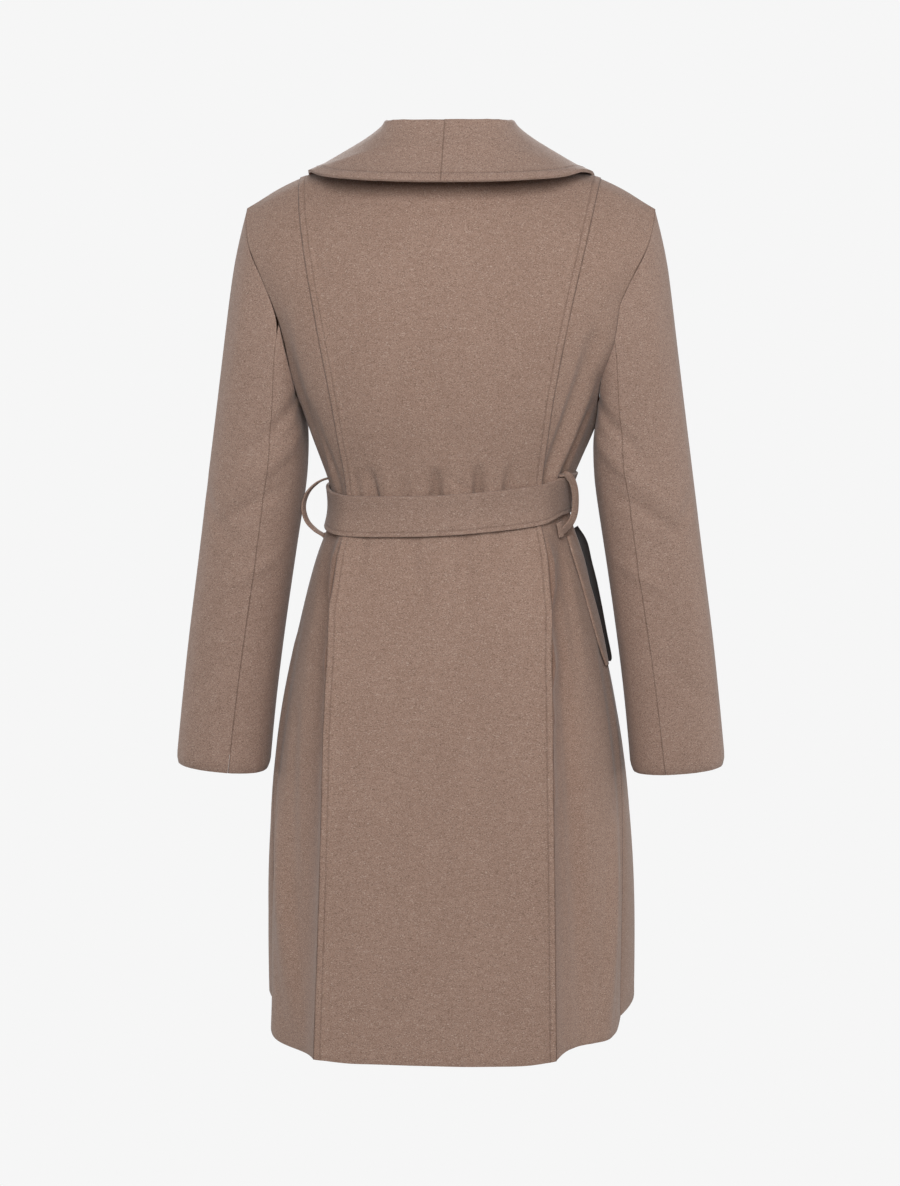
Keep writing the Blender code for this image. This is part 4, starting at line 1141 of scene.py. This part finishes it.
def seam_group():
    """Relief and painted shade of a lapped and topstitched seam, and the painted shade of a join."""
    found = bpy.data.node_groups.get("lapped_seam")
    if found:
        return found
    group, start, end = new_group(
        "lapped_seam",
        [("Inset", "NodeSocketFloat", 7 * MM)],
        [("Relief", "NodeSocketFloat"), ("Shade", "NodeSocketFloat"),
         ("Join", "NodeSocketFloat")])
    share = math_node(group, "DIVIDE", stored_value(group, "seam"), start.outputs["Inset"])
    ramp = group.nodes.new("ShaderNodeValToRGB")
    furthest = SEAM_RELIEF[-1][0]
    stops = ramp.color_ramp.elements
    while len(stops) < len(SEAM_RELIEF):
        stops.new(0.5)
    for stop, (place, height) in zip(stops, SEAM_RELIEF):
        stop.position = place / furthest
        stop.color = (height, height, height, 1.0)
    link(group, math_node(group, "DIVIDE", share, furthest), ramp.inputs["Fac"])
    link(group, ramp.outputs["Color"], end.inputs["Relief"])
    near = math_node(group, "ABSOLUTE", math_node(group, "SUBTRACT", share, 1.0))
    stitched = less_than_whole(group, ramp_node(group, near, STITCH_RAMP))
    joined = less_than_whole(
        group, ramp_node(group, stored_value(group, "join"), JOIN_RAMP))
    link(group, math_node(group, "MULTIPLY", stitched, STITCH_STRENGTH), end.inputs["Shade"])
    link(group, joined, end.inputs["Join"])
    return group


def wool_material(name, colour, inset):
    """Wool coating, with the relief of seams sewn this far from their edges, and painted shade at the
    stitches, the joins and the back's hollows.
    """
    found = bpy.data.materials.get(name)
    if found:
        return found
    cloth = bpy.context.scene.coat_cloth
    material, tree, shader = new_material(name)
    wool = tree.nodes.new("ShaderNodeGroup")
    wool.node_tree = melange_group()
    wool.inputs["Colour"].default_value = (*colour, 1.0)
    wool.inputs["Fleck size"].default_value = cloth.fleck_size
    wool.inputs["Contrast"].default_value = cloth.fleck_contrast
    seam = tree.nodes.new("ShaderNodeGroup")
    seam.node_tree = seam_group()
    seam.inputs["Inset"].default_value = inset
    # painted shade in the groove of the stitches, and along the joins between panels
    shaded = shade_colour(tree, seam.outputs["Shade"], wool.outputs["Colour"], STITCH_PAINTED_SHADE)
    joined = math_node(tree, "MULTIPLY", seam.outputs["Join"], JOIN_STRENGTH)
    shaded = shade_colour(tree, joined, shaded, JOIN_PAINTED_SHADE)
    # painted shade in the hollows beside the long back seams, where the side backs turn in
    shaded = shade_colour(tree, stored_value(tree, "hollow"), shaded, HOLLOW_PAINTED_SHADE)
    link(tree, shaded, shader.inputs["Base Color"])
    link(tree, wool.outputs["Roughness"], shader.inputs["Roughness"])
    relief = bump_node(tree, seam.outputs["Relief"], SEAM_HEIGHT)
    nap = bump_node(tree, wool.outputs["Nap"], cloth.nap_depth, NAP_STRENGTH, relief)
    link(tree, nap, shader.inputs["Normal"])
    shader.inputs["Sheen Weight"].default_value = cloth.sheen
    shader.inputs["Sheen Roughness"].default_value = SHEEN_ROUGHNESS
    shader.inputs["Specular IOR Level"].default_value = WOOL_SHINE
    return material


def lightened(colour, factor):
    """A colour made lighter, with its alpha."""
    return (*(factor * value for value in colour), 1.0)


def thread_material():
    """Matt sewing thread, twisted and a little darker than the cloth."""
    found = bpy.data.materials.get("thread")
    if found:
        return found
    material, tree, shader = new_material("thread")
    twist = noise_node(tree, object_places(tree), *THREAD_NOISE)
    colour = bpy.context.scene.coat_cloth.thread_colour
    mixed = mix_colour(
        tree, ramp_node(tree, twist, THREAD_RAMP), (*colour, 1.0),
        lightened(colour, THREAD_LIGHTER))
    link(tree, mixed, shader.inputs["Base Color"])
    shader.inputs["Roughness"].default_value = THREAD_ROUGHNESS
    shader.inputs["Specular IOR Level"].default_value = THREAD_SHINE
    return material


def pocketing_material():
    """Smooth dark twill inside the pocket mouth."""
    material, tree, shader = new_material("pocketing")
    twill = tree.nodes.new("ShaderNodeTexWave")
    twill.wave_type = "BANDS"
    twill.bands_direction = "DIAGONAL"
    twill.inputs["Scale"].default_value = TWILL_SCALE
    link(tree, object_places(tree), twill.inputs["Vector"])
    ridges = twill.outputs["Fac"]
    colour = bpy.context.scene.coat_cloth.pocketing_colour
    mixed = mix_colour(tree, ridges, (*colour, 1.0), lightened(colour, TWILL_LIGHTER))
    link(tree, mixed, shader.inputs["Base Color"])
    link(tree, bump_node(tree, ridges, TWILL_HEIGHT), shader.inputs["Normal"])
    shader.inputs["Roughness"].default_value = TWILL_ROUGHNESS
    return material


def body_wool():
    """The wool of the trunk and of the pocket's welt."""
    cloth, sewing = bpy.context.scene.coat_cloth, bpy.context.scene.coat_sewing
    return wool_material("body_wool", cloth.body_colour, sewing.seam_inset)


def belt_wool():
    """The wool of the belt, its knot and its loops."""
    cloth, sewing = bpy.context.scene.coat_cloth, bpy.context.scene.coat_sewing
    return wool_material("belt_wool", cloth.belt_colour, sewing.belt_inset)


# ---------------------------------------------------------------- studio

FLOOR_HALF = 14.0
FLOOR_GREY = (0.3, 0.3, 0.3, 1.0)
SENSOR_WIDTH = 36.0
# The lights look at the middle of the coat
LIGHTS_AIM = (0.0, 0.0, -0.42)
KEY_SIZE = 1.7
SIDE_SIZE = 1.4
# Name, place and size of each soft light
LIGHTS = (
    ("key", (-0.30, 2.9, 1.0), KEY_SIZE),
    ("side_left", (2.6, -0.9, -0.2), SIDE_SIZE),
    ("side_right", (-2.6, -0.8, -0.2), SIDE_SIZE),
    ("front_key", (0.30, -2.9, 1.0), KEY_SIZE),
)


def area_light(name, place, size, power):
    """A square soft light that looks at the coat."""
    data = bpy.data.lights.new(name, "AREA")
    data.shape = "SQUARE"
    data.size = size
    data.energy = power
    lamp = bpy.data.objects.new(name, data)
    bpy.context.scene.collection.objects.link(lamp)
    lamp.location = place
    look = Vector(LIGHTS_AIM) - Vector(place)
    lamp.rotation_euler = look.to_track_quat("-Z", "Y").to_euler()


def camera_sees(tree, seen, lit, surface):
    """Shows one shader to the camera itself, and the other to all the light that spreads."""
    path = tree.nodes.new("ShaderNodeLightPath")
    mixed = tree.nodes.new("ShaderNodeMixShader")
    link(tree, path.outputs["Is Camera Ray"], mixed.inputs[0])
    link(tree, lit.outputs[0], mixed.inputs[1])
    link(tree, seen.outputs[0], mixed.inputs[2])
    link(tree, mixed.outputs[0], surface)


# ---------------------------------------------------------------- operators


class COAT_OT_back(bpy.types.Operator):
    """Builds the centre back and the two side backs, and sews the centre's lapped seams"""

    bl_idname = "coat.back"
    bl_label = "Back Panels"

    def execute(self, context):
        sewing = context.scene.coat_sewing
        turns = princess_turns()
        wool = body_wool()
        item, lines = cloth_piece(
            "back_centre", wool, "body", BACK_FOLDS,
            shaping=lambda u, z: skirt_stand(u, z, turns, False),
            sewn=left_and_right, inset=sewing.seam_inset, lap_height=sewing.lap_height)
        sew("back_centre_stitches", item, lines, sewing.seam_inset)
        for name in ("back_side_left", "back_side_right"):
            item, _ = cloth_piece(
                name, wool, "body", FLANK_FOLDS,
                shaping=lambda u, z: skirt_stand(u, z, turns, True))
            # marks the side backs' hollows for the painted shade in their wool
            paint_hollow_shade(item.data, turns)
        return {"FINISHED"}


class COAT_OT_fronts(bpy.types.Operator):
    """Builds the two wrapped fronts and sews their front edges"""

    bl_idname = "coat.fronts"
    bl_label = "Fronts"

    def execute(self, context):
        inset = context.scene.coat_sewing.seam_inset
        wool = body_wool()
        for side, name in ((1, "front_right"), (-1, "front_left")):
            item, lines = cloth_piece(
                name, wool, "body", FLANK_FOLDS, inset=inset, levels=FRONT_LEVELS,
                sewn=lambda lines, side=side: [extreme(lines, lambda place: place.x * side)])
            sew(name + "_stitches", item, lines, inset)
        return {"FINISHED"}


class COAT_OT_collar(bpy.types.Operator):
    """Builds both halves of the shawl collar and sews their outer edges"""

    bl_idname = "coat.collar"
    bl_label = "Collar"

    def execute(self, context):
        cloth, sewing = context.scene.coat_cloth, context.scene.coat_sewing
        wool = wool_material("collar_wool", cloth.collar_colour, sewing.collar_inset)
        for name in ("collar_left", "collar_right"):
            item, lines = cloth_piece(
                name, wool, "collar", reform=raise_roll,
                sewn=lambda lines: [max(lines, key=line_length)],
                seams=lambda lines: [extreme(lines, lambda place: -abs(place.x))],
                inset=sewing.collar_inset, lap_height=COLLAR_LAP)
            sew(name + "_stitches", item, lines, sewing.collar_inset)
        return {"FINISHED"}


class COAT_OT_sleeves(bpy.types.Operator):
    """Builds the top and under panels of both sleeves"""

    bl_idname = "coat.sleeves"
    bl_label = "Sleeves"

    def execute(self, context):
        cloth, sewing = context.scene.coat_cloth, context.scene.coat_sewing
        wool = wool_material("sleeve_wool", cloth.sleeve_colour, sewing.seam_inset)
        for side, label in ((1, "left"), (-1, "right")):
            def unrolled(places, side=side):
                return unroll_sleeve(places, side)
            for panel in ("sleeve_top_", "sleeve_under_"):
                cloth_piece(
                    panel + label, wool, "sleeve", SLEEVE_FOLDS, unrolled,
                    reform=lambda shape, unrolled=unrolled: roll_cuff(shape, unrolled))
        return {"FINISHED"}


class COAT_OT_belt(bpy.types.Operator):
    """Builds the belt, its knot and ends, and its two side loops, and sews their edges"""

    bl_idname = "coat.belt"
    bl_label = "Belt"

    def execute(self, context):
        inset = context.scene.coat_sewing.belt_inset
        wool = belt_wool()
        for name, sewn in (
                ("belt_band", lambda lines: [lowest(lines)]),
                ("belt_tail_left", left_and_right), ("belt_tail_right", left_and_right)):
            item, lines = cloth_piece(
                name, wool, "belt", sewn=sewn, seams=no_lines)
            sew(name + "_stitches", item, lines, inset)
        for name, (across, points) in LOOP_PATHS.items():
            shape = bmesh.new()
            strap(shape, points, across, LOOP_WIDTH, LOOP_STEPS)
            strap(shape, LOOP_TABS[name], across, TAB_WIDTH, TAB_STEPS)
            formed_piece(shape, name + "_cloth", wool, "belt", name)
        knot = formed_piece(
            tie_knot(*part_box("belt_knot")), "belt_knot_cloth", wool, "belt", "belt_knot")
        return {"FINISHED"}


class COAT_OT_pocket(bpy.types.Operator):
    """Builds the pocket mouth that gapes on the wearer's right side"""

    bl_idname = "coat.pocket"
    bl_label = "Pocket"

    def execute(self, context):
        welt = sheet_between(*POCKET_WELT, WELT_THICKNESS, WELT_CROWN)
        formed_piece(welt, "pocket_welt_cloth", body_wool(), "body", "pocket_welt_right")
        lining = sheet_between(*POCKET_LINING, LINING_THICKNESS, LINING_CROWN)
        formed_piece(
            lining, "pocket_lining_cloth", pocketing_material(), "pocketing",
            "pocket_lining_right")
        return {"FINISHED"}


class COAT_OT_stage(bpy.types.Operator):
    """Makes the pale seamless floor, the soft lights and the camera"""

    bl_idname = "coat.stage"
    bl_label = "Studio"

    def execute(self, context):
        stage = context.scene.coat_stage
        self.make_ground(stage)
        self.make_lights(context, stage)
        self.make_camera(context, stage)
        context.scene.view_settings.view_transform = "Standard"
        return {"FINISHED"}

    def make_ground(self, stage):
        """A wide level floor, which the camera sees in the plain colour of the backdrop."""
        shape = bmesh.new()
        bmesh.ops.create_grid(shape, x_segments=2, y_segments=2, size=FLOOR_HALF)
        bmesh.ops.translate(shape, verts=shape.verts[:], vec=(0, 0, -stage.floor_drop))
        material, tree, matt = new_material("pale_ground")
        matt.inputs["Base Color"].default_value = FLOOR_GREY
        matt.inputs["Roughness"].default_value = 1.0
        matt.inputs["Specular IOR Level"].default_value = 0.0
        seen = tree.nodes.new("ShaderNodeEmission")
        seen.inputs["Color"].default_value = (*stage.ground, 1.0)
        camera_sees(tree, seen, matt, tree.nodes["Material Output"].inputs["Surface"])
        floor = new_object("studio_floor", shape, material)

    def make_lights(self, context, stage):
        """The even light from all round, and a soft light at each side of the coat."""
        world = bpy.data.worlds.new("studio")
        context.scene.world = world
        world.use_nodes = True
        tree = world.node_tree
        tree.nodes.clear()
        seen = tree.nodes.new("ShaderNodeBackground")
        seen.inputs["Color"].default_value = (*stage.ground, 1.0)
        seen.inputs["Strength"].default_value = 1.0
        lit = tree.nodes.new("ShaderNodeBackground")
        lit.inputs["Strength"].default_value = stage.fill
        end = tree.nodes.new("ShaderNodeOutputWorld")
        camera_sees(tree, seen, lit, end.inputs["Surface"])
        for name, place, size in LIGHTS:
            power = stage.key_power if size == KEY_SIZE else stage.side_power
            area_light(name, place, size, power)

    def make_camera(self, context, stage):
        """The camera that took the photo, a little to one side and looking down."""
        data = bpy.data.cameras.new("camera")
        data.sensor_width = SENSOR_WIDTH
        data.lens = stage.lens
        camera = bpy.data.objects.new("camera", data)
        context.scene.collection.objects.link(camera)
        turn, tilt = stage.camera_turn, stage.camera_tilt
        away = Vector((-math.sin(turn), math.cos(turn), 0.0))
        camera.location = away * stage.camera_distance + Vector((0, 0, stage.camera_height))
        look = -away * math.cos(tilt) + Vector((0, 0, -math.sin(tilt)))
        camera.rotation_euler = look.to_track_quat("-Z", "Y").to_euler()
        context.scene.camera = camera


class COAT_PT_panel(bpy.types.Panel):
    """Lists the coat's sizes, colours and building steps"""

    bl_idname = "COAT_PT_panel"
    bl_label = "Belted Wrap Coat"
    bl_space_type = "VIEW_3D"
    bl_region_type = "UI"
    bl_category = "Coat"

    def draw(self, context):
        """Lists the settings in three boxes, and a button for each step."""
        layout = self.layout
        for group in (context.scene.coat_cloth, context.scene.coat_sewing,
                      context.scene.coat_stage):
            box = layout.box()
            for name in group.__annotations__:
                box.prop(group, name)
        for step in STEPS:
            layout.operator(step.bl_idname)


STEPS = (
    COAT_OT_stage, COAT_OT_back, COAT_OT_fronts, COAT_OT_collar, COAT_OT_sleeves,
    COAT_OT_belt, COAT_OT_pocket,
)
CLASSES = (CoatCloth, CoatSewing, CoatStage, *STEPS, COAT_PT_panel)


def register():
    """Makes the coat's settings and steps known to Blender."""
    for item in CLASSES:
        bpy.utils.register_class(item)
    bpy.types.Scene.coat_cloth = PointerProperty(type=CoatCloth)
    bpy.types.Scene.coat_sewing = PointerProperty(type=CoatSewing)
    bpy.types.Scene.coat_stage = PointerProperty(type=CoatStage)


def unregister():
    """Takes them away again."""
    del bpy.types.Scene.coat_stage
    del bpy.types.Scene.coat_sewing
    del bpy.types.Scene.coat_cloth
    for item in reversed(CLASSES):
        bpy.utils.unregister_class(item)


def main():
    """Builds the stage and the coat."""
    register()
    bpy.ops.coat.stage()
    bpy.ops.coat.back()
    bpy.ops.coat.fronts()
    bpy.ops.coat.collar()
    bpy.ops.coat.sleeves()
    bpy.ops.coat.belt()
    bpy.ops.coat.pocket()


if __name__ == "__main__":
    main()
